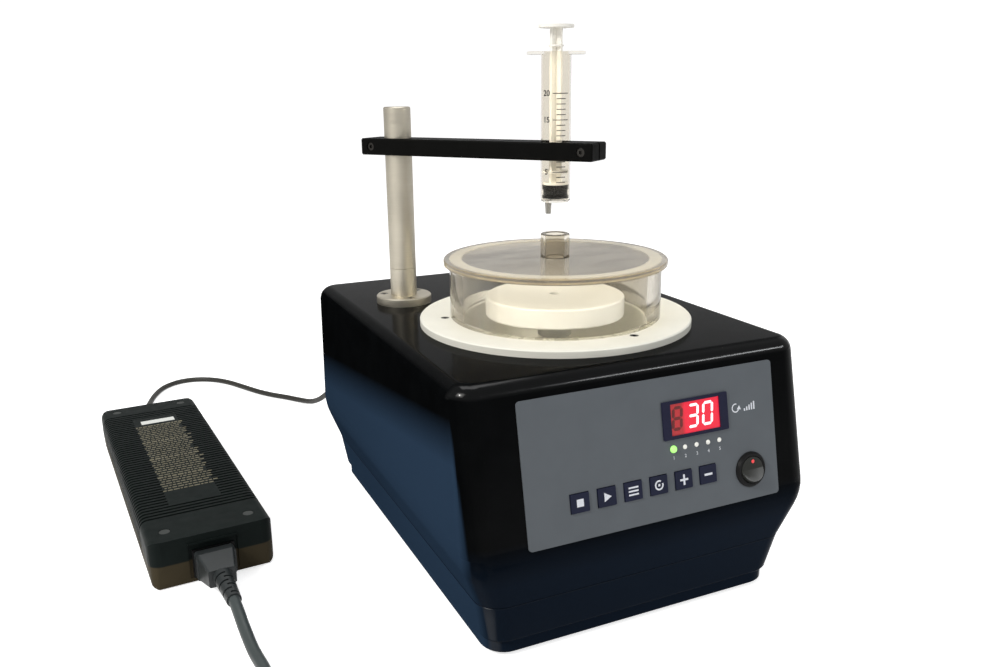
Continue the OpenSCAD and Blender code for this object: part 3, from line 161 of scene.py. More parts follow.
# Stretches of the coil: angle, radius and height (mm) where one ends and the next begins
COIL_STOPS = [
    (180, OUTER_R, LOW_LAYER), (390, OUTER_R, LOW_LAYER), (540, MID_R, LOW_LAYER),
    (750, MID_R, LOW_LAYER), (900, INNER_R, LOW_LAYER), (1010, INNER_R, LOW_LAYER),
    (1150, INNER_R, TOP_LAYER), (1470, INNER_R, TOP_LAYER), (1620, MID_R, TOP_LAYER),
    (1830, MID_R, TOP_LAYER), (1980, OUTER_R, TOP_LAYER), (2070, OUTER_R, TOP_LAYER),
]


def coil_point(angle, radius, height):
    """Point of the coil, in mm, at an angle in degrees."""
    a = math.radians(angle)
    return (COIL_X + radius * math.cos(a), COIL_Y + radius * math.sin(a), height)


def coil_points(step=15):
    """Turns laid beside each other on the bench, then back out again on top of them."""
    out = []
    for (a0, r0, z0), (a1, r1, z1) in zip(COIL_STOPS, COIL_STOPS[1:]):
        n = round((a1 - a0) / step)
        for i in range(n):
            t = i / n
            ease = t * t * (3 - 2 * t)
            out.append(coil_point(a0 + (a1 - a0) * t, r0 + (r1 - r0) * ease, z0 + (z1 - z0) * ease))
    out.append(coil_point(*COIL_STOPS[-1]))
    return out


line = catmull([Vector(p) * MM for p in DC_ROUTE], 4)
dc = curve_object("low_voltage_cable", line, DC_D / 2)
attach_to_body(dc, "housing")
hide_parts("dc_cable")

line = catmull([Vector(p) * MM for p in MAINS_ROUTE + coil_points()[1:] + LEAD_ROUTE], 3)
mains = curve_object("mains_lead", line, MAINS_D / 2)
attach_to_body(mains, "housing")
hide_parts("mains_cord", "cord_coil")


# ---------------------------------------------------------------- materials
# Depth of the bumps, in metres
GRAIN_DEPTH = 0.0002
SMEAR_DEPTH = 0.0004
# Places, in metres, where a finish or a painted sheen changes
SPINDLE_Y = sum(corner[1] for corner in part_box("spindle_shaft")) / 2
NOZZLE_LENGTH = 8.3 * MM
NOZZLE_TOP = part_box("syringe_barrel")[0][2] + NOZZLE_LENGTH
CEMENT_IN, CEMENT_OUT = 0.0645, 0.0745
LIT_DISPLAY_X = 0.0248
GREEN_LAMP_X = 0.0205
ADAPTER_SEAM_Z = 0.0186
# How far such a change spreads: a crisp edge, the cement's inner edge and the display's
CRISP, CEMENT_EDGE, DISPLAY_EDGE = 0.001, 0.0013, 0.0024


def math_node(tree, operation, *values):
    """One sum, of other nodes' outputs and constants."""
    node = tree.nodes.new("ShaderNodeMath")
    node.operation = operation
    for socket, value in zip(node.inputs, values):
        if isinstance(value, (int, float)):
            socket.default_value = value
        else:
            tree.links.new(value, socket)
    return node.outputs[0]


class Look:
    """A node material built round one Principled shader."""

    def __init__(self, name, base, rough=0.4, metal=0.0, ior=1.45):
        self.material = bpy.data.materials.new(name)
        self.material.use_nodes = True
        self.tree = self.material.node_tree
        self.nodes = self.tree.nodes
        self.shader = self.nodes["Principled BSDF"]
        self.base = base
        self.set(Base_Color=base, Roughness=rough, Metallic=metal, IOR=ior)
        self.place = self.nodes.new("ShaderNodeTexCoord").outputs["Object"]

    def wire(self, output, socket):
        self.tree.links.new(output, socket)

    def feed(self, socket, value):
        """Another node's output into one of the shader's own sockets."""
        self.wire(value, self.shader.inputs[socket])
        return self

    def set(self, **values):
        """Plain numbers and colours on the shader's own sockets."""
        for socket, value in values.items():
            self.shader.inputs[socket.replace("_", " ")].default_value = value
        return self

    def maths(self, operation, *values):
        return math_node(self.tree, operation, *values)

    def noise(self, scale, detail=3.0, stretch=(1, 1, 1)):
        """Clouds of 1 / scale metres."""
        mapping = self.nodes.new("ShaderNodeMapping")
        mapping.inputs["Scale"].default_value = stretch
        self.wire(self.place, mapping.inputs["Vector"])
        clouds = self.nodes.new("ShaderNodeTexNoise")
        clouds.inputs["Scale"].default_value = scale
        clouds.inputs["Detail"].default_value = detail
        self.wire(mapping.outputs["Vector"], clouds.inputs["Vector"])
        return clouds.outputs["Fac"]

    def axis(self, letter):
        """One coordinate of the point on the surface, in metres."""
        parts = self.nodes.new("ShaderNodeSeparateXYZ")
        self.wire(self.place, parts.inputs[0])
        return parts.outputs[letter]

    def facing(self):
        """X, Y and Z of the way the surface faces."""
        parts = self.nodes.new("ShaderNodeSeparateXYZ")
        self.wire(self.nodes.new("ShaderNodeTexCoord").outputs["Normal"], parts.inputs[0])
        return [parts.outputs[letter] for letter in "XYZ"]

    def band(self, value, low, high, to_low=0.0, to_high=1.0):
        """Ramp from to_low to to_high while the value goes from low to high."""
        ramp = self.nodes.new("ShaderNodeMapRange")
        for name, end in (("From Min", low), ("From Max", high), ("To Min", to_low), ("To Max", to_high)):
            ramp.inputs[name].default_value = end
        self.wire(value, ramp.inputs["Value"])
        return ramp.outputs["Result"]

    def blend(self, share, first, second):
        """Colour that runs from first to second with share. Either may be another node's output."""
        mix = self.nodes.new("ShaderNodeMix")
        mix.data_type = "RGBA"
        for socket, value in (("A", first), ("B", second)):
            if isinstance(value, tuple):
                mix.inputs[socket].default_value = value
            else:
                self.wire(value, mix.inputs[socket])
        self.wire(share, mix.inputs["Factor"])
        return mix.outputs["Result"]

    def mottle(self, amount, scale=60):
        """Base colour with slightly darker clouds in it."""
        dark = tuple(c * (1 - amount) for c in self.base[:3]) + (1,)
        return self.blend(self.band(self.noise(scale, 2), 0.35, 0.65), self.base, dark)

    def colour(self, value):
        return self.feed("Base Color", value)

    def vary_rough(self, clouds, low, high):
        """Roughness between low and high, in patches."""
        return self.feed("Roughness", self.band(clouds, 0.3, 0.7, low, high))

    def bump(self, height, strength, distance):
        """Fine relief."""
        relief = self.nodes.new("ShaderNodeBump")
        relief.inputs["Strength"].default_value = strength
        relief.inputs["Distance"].default_value = distance
        self.wire(height, relief.inputs["Height"])
        return self.feed("Normal", relief.outputs["Normal"])

    def let_light_through(self, shade):
        """Shadow rays pass it softly, so what is under it is not left dark."""
        rays = self.nodes.new("ShaderNodeLightPath")
        clear = self.nodes.new("ShaderNodeBsdfTransparent")
        clear.inputs["Color"].default_value = shade
        mix = self.nodes.new("ShaderNodeMixShader")
        self.wire(rays.outputs["Is Shadow Ray"], mix.inputs["Fac"])
        self.wire(self.shader.outputs["BSDF"], mix.inputs[1])
        self.wire(clear.outputs["BSDF"], mix.inputs[2])
        self.wire(mix.outputs["Shader"], self.nodes["Material Output"].inputs["Surface"])
        return self


def plain(name, base, rough, metal=0.0, grain=900, mottling=0.12, bump=0.06, ior=1.45):
    """Moulded plastic, rubber or cast metal: slight mottling, uneven gloss and a fine grain."""
    look = Look(name, base, rough, metal, ior)
    look.colour(look.mottle(mottling))
    look.vary_rough(look.noise(140), rough * 0.88, min(1, rough * 1.12))
    return look.bump(look.noise(grain, 2), bump, GRAIN_DEPTH)


def gloss_case():
    """Gloss lacquer, black, with navy showing low down and higher up on the two satin long sides: the
    navy-to-black split is a painted reflection, and the long sides are painted a lighter navy than the
    front, as painted light.
    """
    painted_reflection_from, painted_reflection_full = 0.082, 0.054
    flank_slope, flank_drop = 0.13, -0.054
    flat_shine = 0.055
    look = Look("case_gloss", rgb(8, 9, 10), 0.14, 0, 1.2)
    across, along, up = look.facing()
    side = look.maths("POWER", across, 2)
    front = look.maths("POWER", along, 2)
    # Painted reflection: the line where navy gives way to black, which climbs the long sides. The long
    # sides get a lighter navy than the front, which is painted light and shade.
    flank = look.band(side, 0.6, 0.95)
    rise = look.maths("MULTIPLY_ADD", look.axis("Y"), flank_slope, flank_drop)
    level = look.maths("MULTIPLY_ADD", flank, rise, look.axis("Z"))
    navy = look.band(level, painted_reflection_from, painted_reflection_full)
    navy_painted_side_light = look.blend(flank, rgb(17, 26, 38), rgb(38, 54, 73))
    look.colour(look.blend(navy, look.mottle(0.25), navy_painted_side_light))
    # The rounded edges in front are polished; flat faces shine less, and the long sides not at all.
    rounded = look.maths("MULTIPLY", look.band(up, 0.15, 0.4), look.band(up, 0.98, 0.88))
    front_edge = look.maths("MULTIPLY", rounded, look.band(front, 0, 0.08))
    upright = look.band(look.maths("MULTIPLY", side, front), 0.17, 0.24)
    corner = look.maths("MULTIPLY", upright, look.band(look.axis("Z"), 0.05, 0.03))
    flat = look.band(side, 0.4, 0.7, flat_shine, 0)
    edge = look.maths("MAXIMUM", front_edge, corner)
    look.set(Specular_IOR_Level=0.1)
    look.feed("Specular IOR Level", look.maths("MAXIMUM", flat, edge))
    look.vary_rough(look.noise(140), 0.12, 0.17)
    return look.bump(look.noise(500, 2), 0.012, GRAIN_DEPTH)


def satin_post():
    """Turned aluminium: fine rings round the axis, with an uneven gloss."""
    look = Look("post_satin", rgb(208, 201, 185), 0.36, 1.0)
    rings = look.noise(900, 2, (0.06, 0.06, 1))
    look.colour(look.mottle(0.1, 40))
    look.vary_rough(rings, 0.36, 0.5)
    return look.bump(rings, 0.05, GRAIN_DEPTH)


def lid_acrylic():
    """Clear plate, hazy with use, and milky where the ring is cemented under it."""
    look = Look("lid_acrylic", (0.47, 0.425, 0.35, 1), 0.12, 0, 1.45)
    flat = look.nodes.new("ShaderNodeVectorMath")
    flat.operation = "MULTIPLY_ADD"
    flat.inputs[1].default_value = (1, 1, 0)
    flat.inputs[2].default_value = (0, -SPINDLE_Y, 0)
    length = look.nodes.new("ShaderNodeVectorMath")
    length.operation = "LENGTH"
    look.wire(look.place, flat.inputs[0])
    look.wire(flat.outputs[0], length.inputs[0])
    from_spindle = length.outputs["Value"]
    inside = look.band(from_spindle, CEMENT_IN, CEMENT_IN + CEMENT_EDGE)
    rim = look.maths("MULTIPLY", inside, look.band(from_spindle, CEMENT_OUT, CEMENT_OUT - CRISP))
    smear = look.band(look.noise(28, 4, (1, 2.4, 1)), 0.35, 0.7)
    hazy = look.blend(smear, look.base, (0.38, 0.34, 0.28, 1))
    look.colour(look.blend(rim, hazy, rgb(222, 213, 190)))
    look.feed("Transmission Weight", look.band(rim, 0, 1, 0.86, 0.3))
    look.vary_rough(smear, 0.1, 0.2)
    look.bump(look.noise(14, 1), 0.012, SMEAR_DEPTH)
    return look.let_light_through((0.92, 0.91, 0.87, 1))


def acrylic_tube(name, base, ior):
    """Clear tube, painted darker and less clear towards its left and right walls, which the front view
    sees edge on: painted shade.
    """
    look = Look(name, base, 0.05, 0, ior)
    middle, painted_shade_from, painted_shade_full = -0.01, 0.052, 0.062
    off_middle = look.maths("ABSOLUTE", look.maths("SUBTRACT", look.axis("X"), middle))
    # Painted shade on the left and right walls: a darker colour there, and less light let through.
    edge_on_painted_shade = look.band(off_middle, painted_shade_from, painted_shade_full)
    look.colour(look.blend(edge_on_painted_shade, look.base, (0.44, 0.41, 0.35, 1)))
    look.feed("Transmission Weight", look.band(edge_on_painted_shade, 0, 1, 0.98, 0.7))
    look.vary_rough(look.noise(45), 0.04, 0.07)
    look.bump(look.noise(20, 1), 0.02, SMEAR_DEPTH)
    return look.let_light_through((0.94, 0.93, 0.91, 1))


def syringe_plastic():
    """Clear polypropylene, greyer in the solid nozzle than in the thin barrel."""
    look = Look("syringe_polypropylene", (0.82, 0.79, 0.73, 1), 0.08, 0, 1.15)
    nozzle = look.band(look.axis("Z"), NOZZLE_TOP, NOZZLE_TOP - CRISP)
    look.colour(look.blend(nozzle, look.base, (0.42, 0.41, 0.38, 1)))
    look.feed("Transmission Weight", look.band(nozzle, 0, 1, 1, 0.6))
    look.vary_rough(look.noise(45), 0.06, 0.1)
    look.bump(look.noise(20, 1), 0.02, SMEAR_DEPTH)
    return look.let_light_through((0.92, 0.91, 0.88, 1))


def display_filter():
    """Red window, dim over the first digit and lit over the other two."""
    look = Look("display_filter", rgb(150, 34, 40), 0.25)
    lit = look.band(look.axis("X"), LIT_DISPLAY_X, LIT_DISPLAY_X + DISPLAY_EDGE)
    look.feed("Emission Color", look.blend(lit, rgb(140, 40, 42), rgb(232, 30, 62)))
    look.set(Emission_Strength=0.8)
    return look.bump(look.noise(1500, 2), 0.03, GRAIN_DEPTH)


def lamps():
    """Clear lamps, the first one lit green; the unlit ones are given a faint grey glow, which is painted
    light.
    """
    look = Look("lamp_lens", rgb(226, 226, 220), 0.25)
    green = look.band(look.axis("X"), GREEN_LAMP_X, GREEN_LAMP_X - CRISP)
    look.colour(look.blend(green, rgb(226, 226, 220), rgb(150, 226, 120)))
    # Painted light: the unlit lamps glow grey as well, though only the first one is lit.
    look.feed("Emission Color", look.blend(green, rgb(120, 120, 116), rgb(168, 240, 120)))
    look.set(Emission_Strength=0.8)
    return look.bump(look.noise(1500, 2), 0.03, GRAIN_DEPTH)


def glow(name, colour, strength):
    """Lit segment or lens, or a mark given a glow as painted light."""
    look = Look(name, colour, 0.4)
    look.set(Emission_Color=colour, Emission_Strength=strength)
    return look.bump(look.noise(1500, 2), 0.02, GRAIN_DEPTH / 2)


def adapter_shell():
    """Grained plastic: the lower shell is painted a shade lighter and warmer than the upper, as a painted
    sheen.
    """
    look = Look("adapter_black", rgb(24, 30, 29), 0.42, 0, 1.12)
    lower = look.band(look.axis("Z"), ADAPTER_SEAM_Z, ADAPTER_SEAM_Z - CRISP)
    # Painted sheen: lighter, warmer colour below the seam.
    look.colour(look.blend(lower, look.mottle(0.15), rgb(64, 57, 43)))
    look.vary_rough(look.noise(140), 0.38, 0.48)
    return look.bump(look.noise(1300, 2), 0.14, GRAIN_DEPTH)


# plain() takes name, colour, roughness, metal, grain per metre, mottling, bump and IOR
LOOKS = {
    "case": gloss_case(),
    "foot": plain("foot_rubber", rgb(28, 28, 28), 0.75, 0, 1500, 0.15, 0.2),
    "screw": plain("screw_steel", rgb(150, 148, 142), 0.3, 1.0, 2500, 0.1, 0.08),
    "screw_dark": plain("screw_blackened", rgb(60, 58, 55), 0.4, 0.8, 2500, 0.1, 0.08),
    "bowl": plain("bowl_white", rgb(238, 236, 225), 0.42, 0, 1200, 0.03, 0.04),
    "chuck": plain("chuck_white", rgb(242, 241, 235), 0.38, 0, 1200, 0.02, 0.04),
    "alu": plain("milled_aluminium", rgb(196, 196, 196), 0.34, 1.0, 1800, 0.06, 0.08),
    "motor": plain("motor_lacquer", rgb(38, 38, 40), 0.4, 0, 1500, 0.1, 0.08),
    "copper": plain("winding_copper", rgb(150, 84, 42), 0.4, 1.0, 2500, 0.25, 0.3),
    "steel": plain("ground_steel", rgb(190, 190, 192), 0.22, 1.0, 2500, 0.05, 0.05),
    "post": satin_post(),
    "arm": plain("arm_anodised", rgb(12, 12, 11), 0.5, 0, 2200, 0.2, 0.12, 1.12),
    "lid": lid_acrylic(),
    "ring": acrylic_tube("ring_acrylic", (0.92, 0.9, 0.85, 1), 1.2),
    "spout": acrylic_tube("spout_acrylic", (0.7, 0.66, 0.58, 1), 1.3),
    "syringe": syringe_plastic(),
    "plunger": plain("plunger_white", rgb(246, 243, 235), 0.45, 0, 900, 0.03, 0.04),
    "piston": plain("piston_rubber", rgb(8, 8, 9), 0.35, 0, 1500, 0.2, 0.08),
    "panel": plain("panel_grey", rgb(92, 97, 102), 0.42, 0, 2600, 0.05, 0.05, 1.3),
    "bezel": plain("bezel_navy", rgb(30, 31, 54), 0.35, 0, 1800, 0.1, 0.04, 1.25),
    "display": display_filter(),
    "digit": glow("digit_glow", rgb(255, 222, 226), 0.9),
    "digit_dim": plain("digit_dim", rgb(112, 34, 34), 0.4, 0, 1500, 0.1, 0.02),
    "lamp": lamps(),
    "key": plain("key_navy", rgb(28, 32, 54), 0.4, 0, 2200, 0.12, 0.06, 1.25),
    "mark": plain("mark_white", rgb(222, 225, 232), 0.45, 0, 2000, 0.03, 0.03),
    "scale": plain("scale_ink", rgb(46, 43, 38), 0.5, 0, 2000, 0.1, 0.03),
    "print": plain("label_ink", rgb(116, 110, 88), 0.5, 0, 2000, 0.2, 0.03),
    "sticker": plain("label_strip", rgb(226, 228, 224), 0.5, 0, 2000, 0.04, 0.03),
    "cap": plain("cap_grey", rgb(52, 56, 54), 0.5, 0, 1500, 0.12, 0.06),
    "black": plain("moulded_black", rgb(18, 18, 19), 0.42, 0, 1600, 0.15, 0.08, 1.25),
    "connector": plain("connector_grey", rgb(44, 48, 49), 0.36, 0, 1600, 0.15, 0.1),
    "rocker": plain("rocker_smoke", rgb(44, 45, 42), 0.3, 0, 1800, 0.1, 0.04, 1.3),
    # The rocker's red dot is a mark, not a lamp: its glow is painted light.
    "red": glow("rocker_red_painted_glow", rgb(214, 60, 62), 0.45),
    "board": plain("board_green", rgb(26, 84, 50), 0.35, 0, 1600, 0.12, 0.06),
    "brass": plain("spacer_brass", rgb(190, 160, 92), 0.3, 1.0, 1800, 0.08, 0.06),
    "socket": plain("socket_nickel", rgb(190, 190, 188), 0.2, 1.0, 1800, 0.06, 0.04),
    "adapter": adapter_shell(),
    "dc_cable": plain("cable_sheath", rgb(46, 45, 40), 0.45, 0, 1500, 0.12, 0.08),
    "mains": plain("mains_sheath", rgb(64, 71, 71), 0.4, 0, 1500, 0.12, 0.08),
}

NODE_LOOKS = {
    "upper_cover": "case", "base_tray": "case", "rubber_feet": "foot", "case_screws": "screw",
    "splash_bowl": "bowl", "bowl_screws": "screw_dark", "motor_plate": "alu", "plate_standoffs": "alu",
    "plate_screws": "screw", "motor_can": "motor", "motor_end_bell": "alu", "motor_stator": "copper",
    "motor_bearings": "steel", "motor_screws": "screw", "spindle_shaft": "steel", "motor_rotor": "steel",
    "chuck_hub": "alu", "hub_grub_screw": "screw_dark", "chuck": "chuck", "chuck_screw": "screw_dark",
    "lid_plate": "lid", "lid_ring": "ring", "lid_spout": "spout", "post_base": "post",
    "post_base_screws": "screw", "post_backing_plate": "alu", "post_stud": "steel", "post": "post",
    "dispense_arm": "arm", "arm_clamp_screws": "screw_dark", "syringe_barrel": "syringe",
    "syringe_plunger": "plunger", "syringe_piston": "piston", "front_panel": "panel",
    "display_bezel": "bezel", "display_module": "display", "indicator_lamps": "lamp",
    "key_stop": "key", "key_run": "key", "key_set": "key", "key_view": "key", "key_plus": "key",
    "key_minus": "key", "key_switches": "black", "control_board": "board", "board_spacers": "brass",
    "switch_body": "black", "switch_rocker": "rocker", "dc_socket": "socket", "driver_board": "board",
    "driver_spacers": "brass", "heat_sink": "alu", "dc_plug": "black", "adapter_case": "adapter",
    "adapter_fittings": "black", "mains_connector": "connector", "mains_plug": "connector",
    "dc_cable": "dc_cable", "mains_cord": "mains", "cord_coil": "mains",
}
dc.data.materials.append(LOOKS["dc_cable"].material)
mains.data.materials.append(LOOKS["mains"].material)


# ---------------------------------------------------------------- smooth shading for the CAD nodes
def edge_group(degrees):
    """Geometry nodes: smooth faces, with edges kept sharp where they turn by more than this."""
    group = bpy.data.node_groups.new(f"sharp_over_{degrees}", "GeometryNodeTree")
    group.interface.new_socket("Geometry", in_out="INPUT", socket_type="NodeSocketGeometry")
    group.interface.new_socket("Geometry", in_out="OUTPUT", socket_type="NodeSocketGeometry")
    nodes_in, wire = group.nodes, group.links.new
    start, end = nodes_in.new("NodeGroupInput"), nodes_in.new("NodeGroupOutput")
    face = nodes_in.new("GeometryNodeSetShadeSmooth")
    face.domain = "FACE"
    face.inputs["Shade Smooth"].default_value = True
    edge = nodes_in.new("GeometryNodeSetShadeSmooth")
    edge.domain = "EDGE"
    edge.inputs["Shade Smooth"].default_value = False
    angle = nodes_in.new("GeometryNodeInputMeshEdgeAngle")
    sharp = nodes_in.new("FunctionNodeCompare")
    sharp.data_type, sharp.operation = "FLOAT", "GREATER_THAN"
    sharp.inputs[1].default_value = math.radians(degrees)
    wire(start.outputs[0], face.inputs["Geometry"])
    wire(face.outputs["Geometry"], edge.inputs["Geometry"])
    wire(angle.outputs["Unsigned Angle"], sharp.inputs[0])
    wire(sharp.outputs["Result"], edge.inputs["Selection"])
    wire(edge.outputs["Geometry"], end.inputs[0])
    return group


SHARP_EDGES = edge_group(28)
WELD_GAP = 0.000002


def smooth(ob):
    """Smooth shading across facets, with flat faces and sharp edges kept."""
    mesh = ob.data
    if "custom_normal" in mesh.attributes:
        mesh.attributes.remove(mesh.attributes["custom_normal"])
    mesh.polygons.foreach_set("use_smooth", [True] * len(mesh.polygons))
    weld = ob.modifiers.new("weld", "WELD")
    weld.merge_threshold = WELD_GAP
    edges = ob.modifiers.new("edges", "NODES")
    edges.node_group = SHARP_EDGES
    normals = ob.modifiers.new("normals", "WEIGHTED_NORMAL")
    normals.keep_sharp = True
    normals.mode = "FACE_AREA"
    normals.weight = 80


for name, ob in nodes.items():
    ob.data.materials.clear()
    ob.data.materials.append(LOOKS[NODE_LOOKS[name]].material)
    smooth(ob)


# ---------------------------------------------------------------- printed and raised details
def outlines_mesh(name, outlines, place, height, sink=0.15):
    """Flat outlines (mm) raised by height from the face that place puts them on."""
    verts, faces = [], []
    for points in outlines:
        first, n = len(verts), len(points)
        for z in (-sink, height):
            verts += [place @ (Vector((x, y, z)) * MM) for x, y in points]
        faces.append(tuple(range(first + n - 1, first - 1, -1)))
        faces.append(tuple(range(first + n, first + 2 * n)))
        for i in range(n):
            j = (i + 1) % n
            faces.append((first + i, first + j, first + n + j, first + n + i))
    return mesh_object(name, verts, faces, smooth=False)


def attach(ob, body, look):
    """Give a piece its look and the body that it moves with."""
    ob.data.materials.append(LOOKS[look].material)
    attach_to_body(ob, body)
    return ob


def bar(x, y, w, h):
    """Outline of an upright rectangle round (x, y)."""
    left, right, low, high = x - w / 2, x + w / 2, y - h / 2, y + h / 2
    return [(left, low), (right, low), (right, high), (left, high)]


def stroke(points, width):
    """Outline of a line of some width through the points."""
    left, right = [], []
    for i, p in enumerate(points):
        a, b = points[max(i - 1, 0)], points[min(i + 1, len(points) - 1)]
        half = Vector((b[0] - a[0], b[1] - a[1])).normalized() * width / 2
        left.append((p[0] - half.y, p[1] + half.x))
        right.append((p[0] + half.y, p[1] - half.x))
    return right + left[::-1]


def arc(cx, cy, r, start, end, n=14):
    """Points along an arc, from one angle to another in degrees."""
    turns = [math.radians(start + (end - start) * i / n) for i in range(n + 1)]
    return [(cx + r * math.cos(a), cy + r * math.sin(a)) for a in turns]


def add_strip(verts, faces, sections, closed=False):
    """Add a solid strip through sections of four points, with end faces unless it closes on itself."""
    first, count = len(verts), len(sections)
    for corners in sections:
        verts += corners
    for i in range(count if closed else count - 1):
        a, b = first + 4 * i, first + 4 * ((i + 1) % count)
        faces += [(a + m, a + (m + 1) % 4, b + (m + 1) % 4, b + m) for m in range(4)]
    if not closed:
        last = first + 4 * (count - 1)
        faces += [tuple(first + m for m in (3, 2, 1, 0)), tuple(last + m for m in (0, 1, 2, 3))]


# Seven segments in a unit cell: middle of each, and whether it lies flat
SEGMENTS = {"top": (0, 1, True), "mid": (0, 0, True), "low": (0, -1, True), "tl": (-1, 0.5, False),
            "tr": (1, 0.5, False), "bl": (-1, -0.5, False), "br": (1, -0.5, False)}
DIGITS = {"0": "top low tl tr bl br", "3": "top mid low tr br", "8": "top mid low tl tr bl br"}
SEGMENT_GAP = 0.25


def digit(text, cx, cy, w, h, thick, lean=0.09):
    """Segments of one display digit, leaning a little to the right."""
    out = []
    for name in DIGITS[text].split():
        sx, sy, flat = SEGMENTS[name]
        half = (w if flat else h / 2) / 2 - SEGMENT_GAP
        flank, side = half - thick / 2, thick / 2
        body = [(-half, 0), (-flank, side), (flank, side), (half, 0), (flank, -side), (-flank, -side)]
        shape = []
        for x, y in body:
            x, y = (x, y) if flat else (-y, x)
            x, y = x + sx * w / 2, y + sy * h / 2
            shape.append((cx + x + lean * y, cy + y))
        out.append(shape)
    return out


def number_mesh(name, words, place, height, on_round=None, bold=0.0):
    """Plain numbers, each (text, x, y, size) in mm, on a flat face or round a cylinder of this radius."""
    verts, faces = [], []
    for text, x, y, size in words:
        font = bpy.data.curves.new(name, "FONT")
        font.body, font.size, font.align_x, font.align_y = text, size, "CENTER", "CENTER"
        font.extrude = height / 2
        font.offset = bold
        font.resolution_u = 3
        holder = link(bpy.data.objects.new(name + "_text", font))
        mesh = bpy.data.meshes.new_from_object(holder)
        first = len(verts)
        verts += [(v.co.x + x, v.co.y + y, v.co.z) for v in mesh.vertices]
        faces += [tuple(first + i for i in face.vertices) for face in mesh.polygons]
        bpy.data.objects.remove(holder)
        bpy.data.meshes.remove(mesh)
        bpy.data.curves.remove(font)
    return mesh_object(name, [place @ (wrap(v, on_round) * MM) for v in verts], faces, smooth=False)


def wrap(v, r):
    """A point of a flat drawing, bent round an upright cylinder of radius r where there is one."""
    if r is None:
        return Vector(v)
    a = v[0] / r
    return Vector((math.sin(a) * (r + v[2]), v[1], math.cos(a) * (r + v[2])))


# Frame of the front face: X across, Y up the face from the knee, Z outwards
FACE_TILT = math.radians(11.3)
KNEE = Vector((0, -167.1, 70)) * MM
FACE_TURN = Matrix(((1, 0, 0), (0, math.sin(FACE_TILT), -math.cos(FACE_TILT)),
                    (0, math.cos(FACE_TILT), math.sin(FACE_TILT))))
FACE = Matrix.Translation(KNEE) @ FACE_TURN.to_4x4()
PANEL_TOP, KEY_TOP = 0.8, 1.6


def on_face(x, y, z):
    """Place on the front face, in mm."""
    return FACE @ Matrix.Translation(Vector((x, y, z)) * MM)


PANEL = on_face(0, 0, PANEL_TOP)

# Display: two lit digits, and the first one dark. A digit has a width, a height and a thickness.
DISPLAY_Y = 66.5
LIT_DIGIT, DARK_DIGIT = (6.6, 13.4, 1.7), (6.0, 13.2, 2)
number = digit("3", 33.2, DISPLAY_Y, *LIT_DIGIT) + digit("0", 44.2, DISPLAY_Y, *LIT_DIGIT)
attach(outlines_mesh("display_digits", number, PANEL, 0.12), "housing", "digit")
unlit = digit("8", 21.3, DISPLAY_Y, *DARK_DIGIT)
attach(outlines_mesh("display_dark_digit", unlit, PANEL, 0.08), "housing", "digit_dim")

# Keys: one plain sign each, which moves with its key
KEY_X, KEY_Y, KEY_PITCH = -51.6, 27.8, 18.5
LINE, BOLD_LINE = 1.0, 1.3
SIGNS = {
    "key_stop": [bar(0, 0, 4.6, 4.6)],
    "key_run": [[(-2, -2.8), (3, 0), (-2, 2.8)]],
    "key_set": [bar(0, y, 7, LINE) for y in (-2.2, 0, 2.2)],
    "key_view": [stroke(arc(0, 0, 2.7, 60, 380), LINE), bar(0, 0, 1.4, 1.4)],
    "key_plus": [bar(0, 0, 6, BOLD_LINE)] + [bar(0, y, BOLD_LINE, 2.7) for y in (2, -2)],
    "key_minus": [bar(0, 0, 6, 1.4)],
}
for i, (key, sign) in enumerate(SIGNS.items()):
    place = on_face(KEY_X + i * KEY_PITCH, KEY_Y, KEY_TOP)
    attach(outlines_mesh(key + "_sign", sign, place, 0.06), key, "mark")

# Lamps, with their numbers under them
LAMP_X, LAMP_Y, LAMP_PITCH = 16.7, 47.9, 8.75
LAMPS = 5
NUMBER_DROP, NUMBER_SIZE = 5.6, 3.0
words = [(str(i + 1), LAMP_X + i * LAMP_PITCH, LAMP_Y - NUMBER_DROP, NUMBER_SIZE) for i in range(LAMPS)]
attach(number_mesh("lamp_numbers", words, PANEL, 0.08), "housing", "mark")

# Speed sign beside the display: an arrow that goes round, and steps that grow
SPEED_X, SPEED_Y = 66, 66
STEP_PITCH, STEP_GROWTH = 1.9, 0.9
arrow = stroke(arc(0, 0, 2.6, 70, 340), 0.7)
head = [(2.9, 1.4), (4.2, -1.4), (0.9, -1.1)]
steps = [bar(7 + i * STEP_PITCH, i * STEP_GROWTH / 2 - 2, 1.0, 1.6 + i * STEP_GROWTH) for i in range(5)]
attach(outlines_mesh("speed_sign", [arrow, head] + steps, on_face(SPEED_X, SPEED_Y, PANEL_TOP), 0.05),
       "housing", "mark")


def dome(name, place, r, high, rings=5, sides=24):
    """Low dome (mm) on a closed round base."""
    verts, faces = [], []
    for i in range(rings):
        rise = math.pi / 2 * i / rings
        out, z = r * math.cos(rise), high * math.sin(rise)
        for k in range(sides):
            a = 2 * math.pi * k / sides
            verts.append(place @ (Vector((out * math.cos(a), out * math.sin(a), z)) * MM))
    verts.append(place @ (Vector((0, 0, high)) * MM))
    for i in range(rings - 1):
        for k in range(sides):
            j = (k + 1) % sides
            faces.append((i * sides + k, i * sides + j, (i + 1) * sides + j, (i + 1) * sides + k))
    top = (rings - 1) * sides
    faces += [(top + k, top + (k + 1) % sides, len(verts) - 1) for k in range(sides)]
    faces.append(tuple(range(sides - 1, -1, -1)))
    return mesh_object(name, verts, faces)


# The lit lamp has a wider lens than the others
LENS_R, LENS_HIGH = 2.4, 2.1
lens = dome("lit_lamp_lens", on_face(LAMP_X, LAMP_Y, PANEL_TOP), LENS_R, LENS_HIGH)
attach(lens, "housing", "lamp")

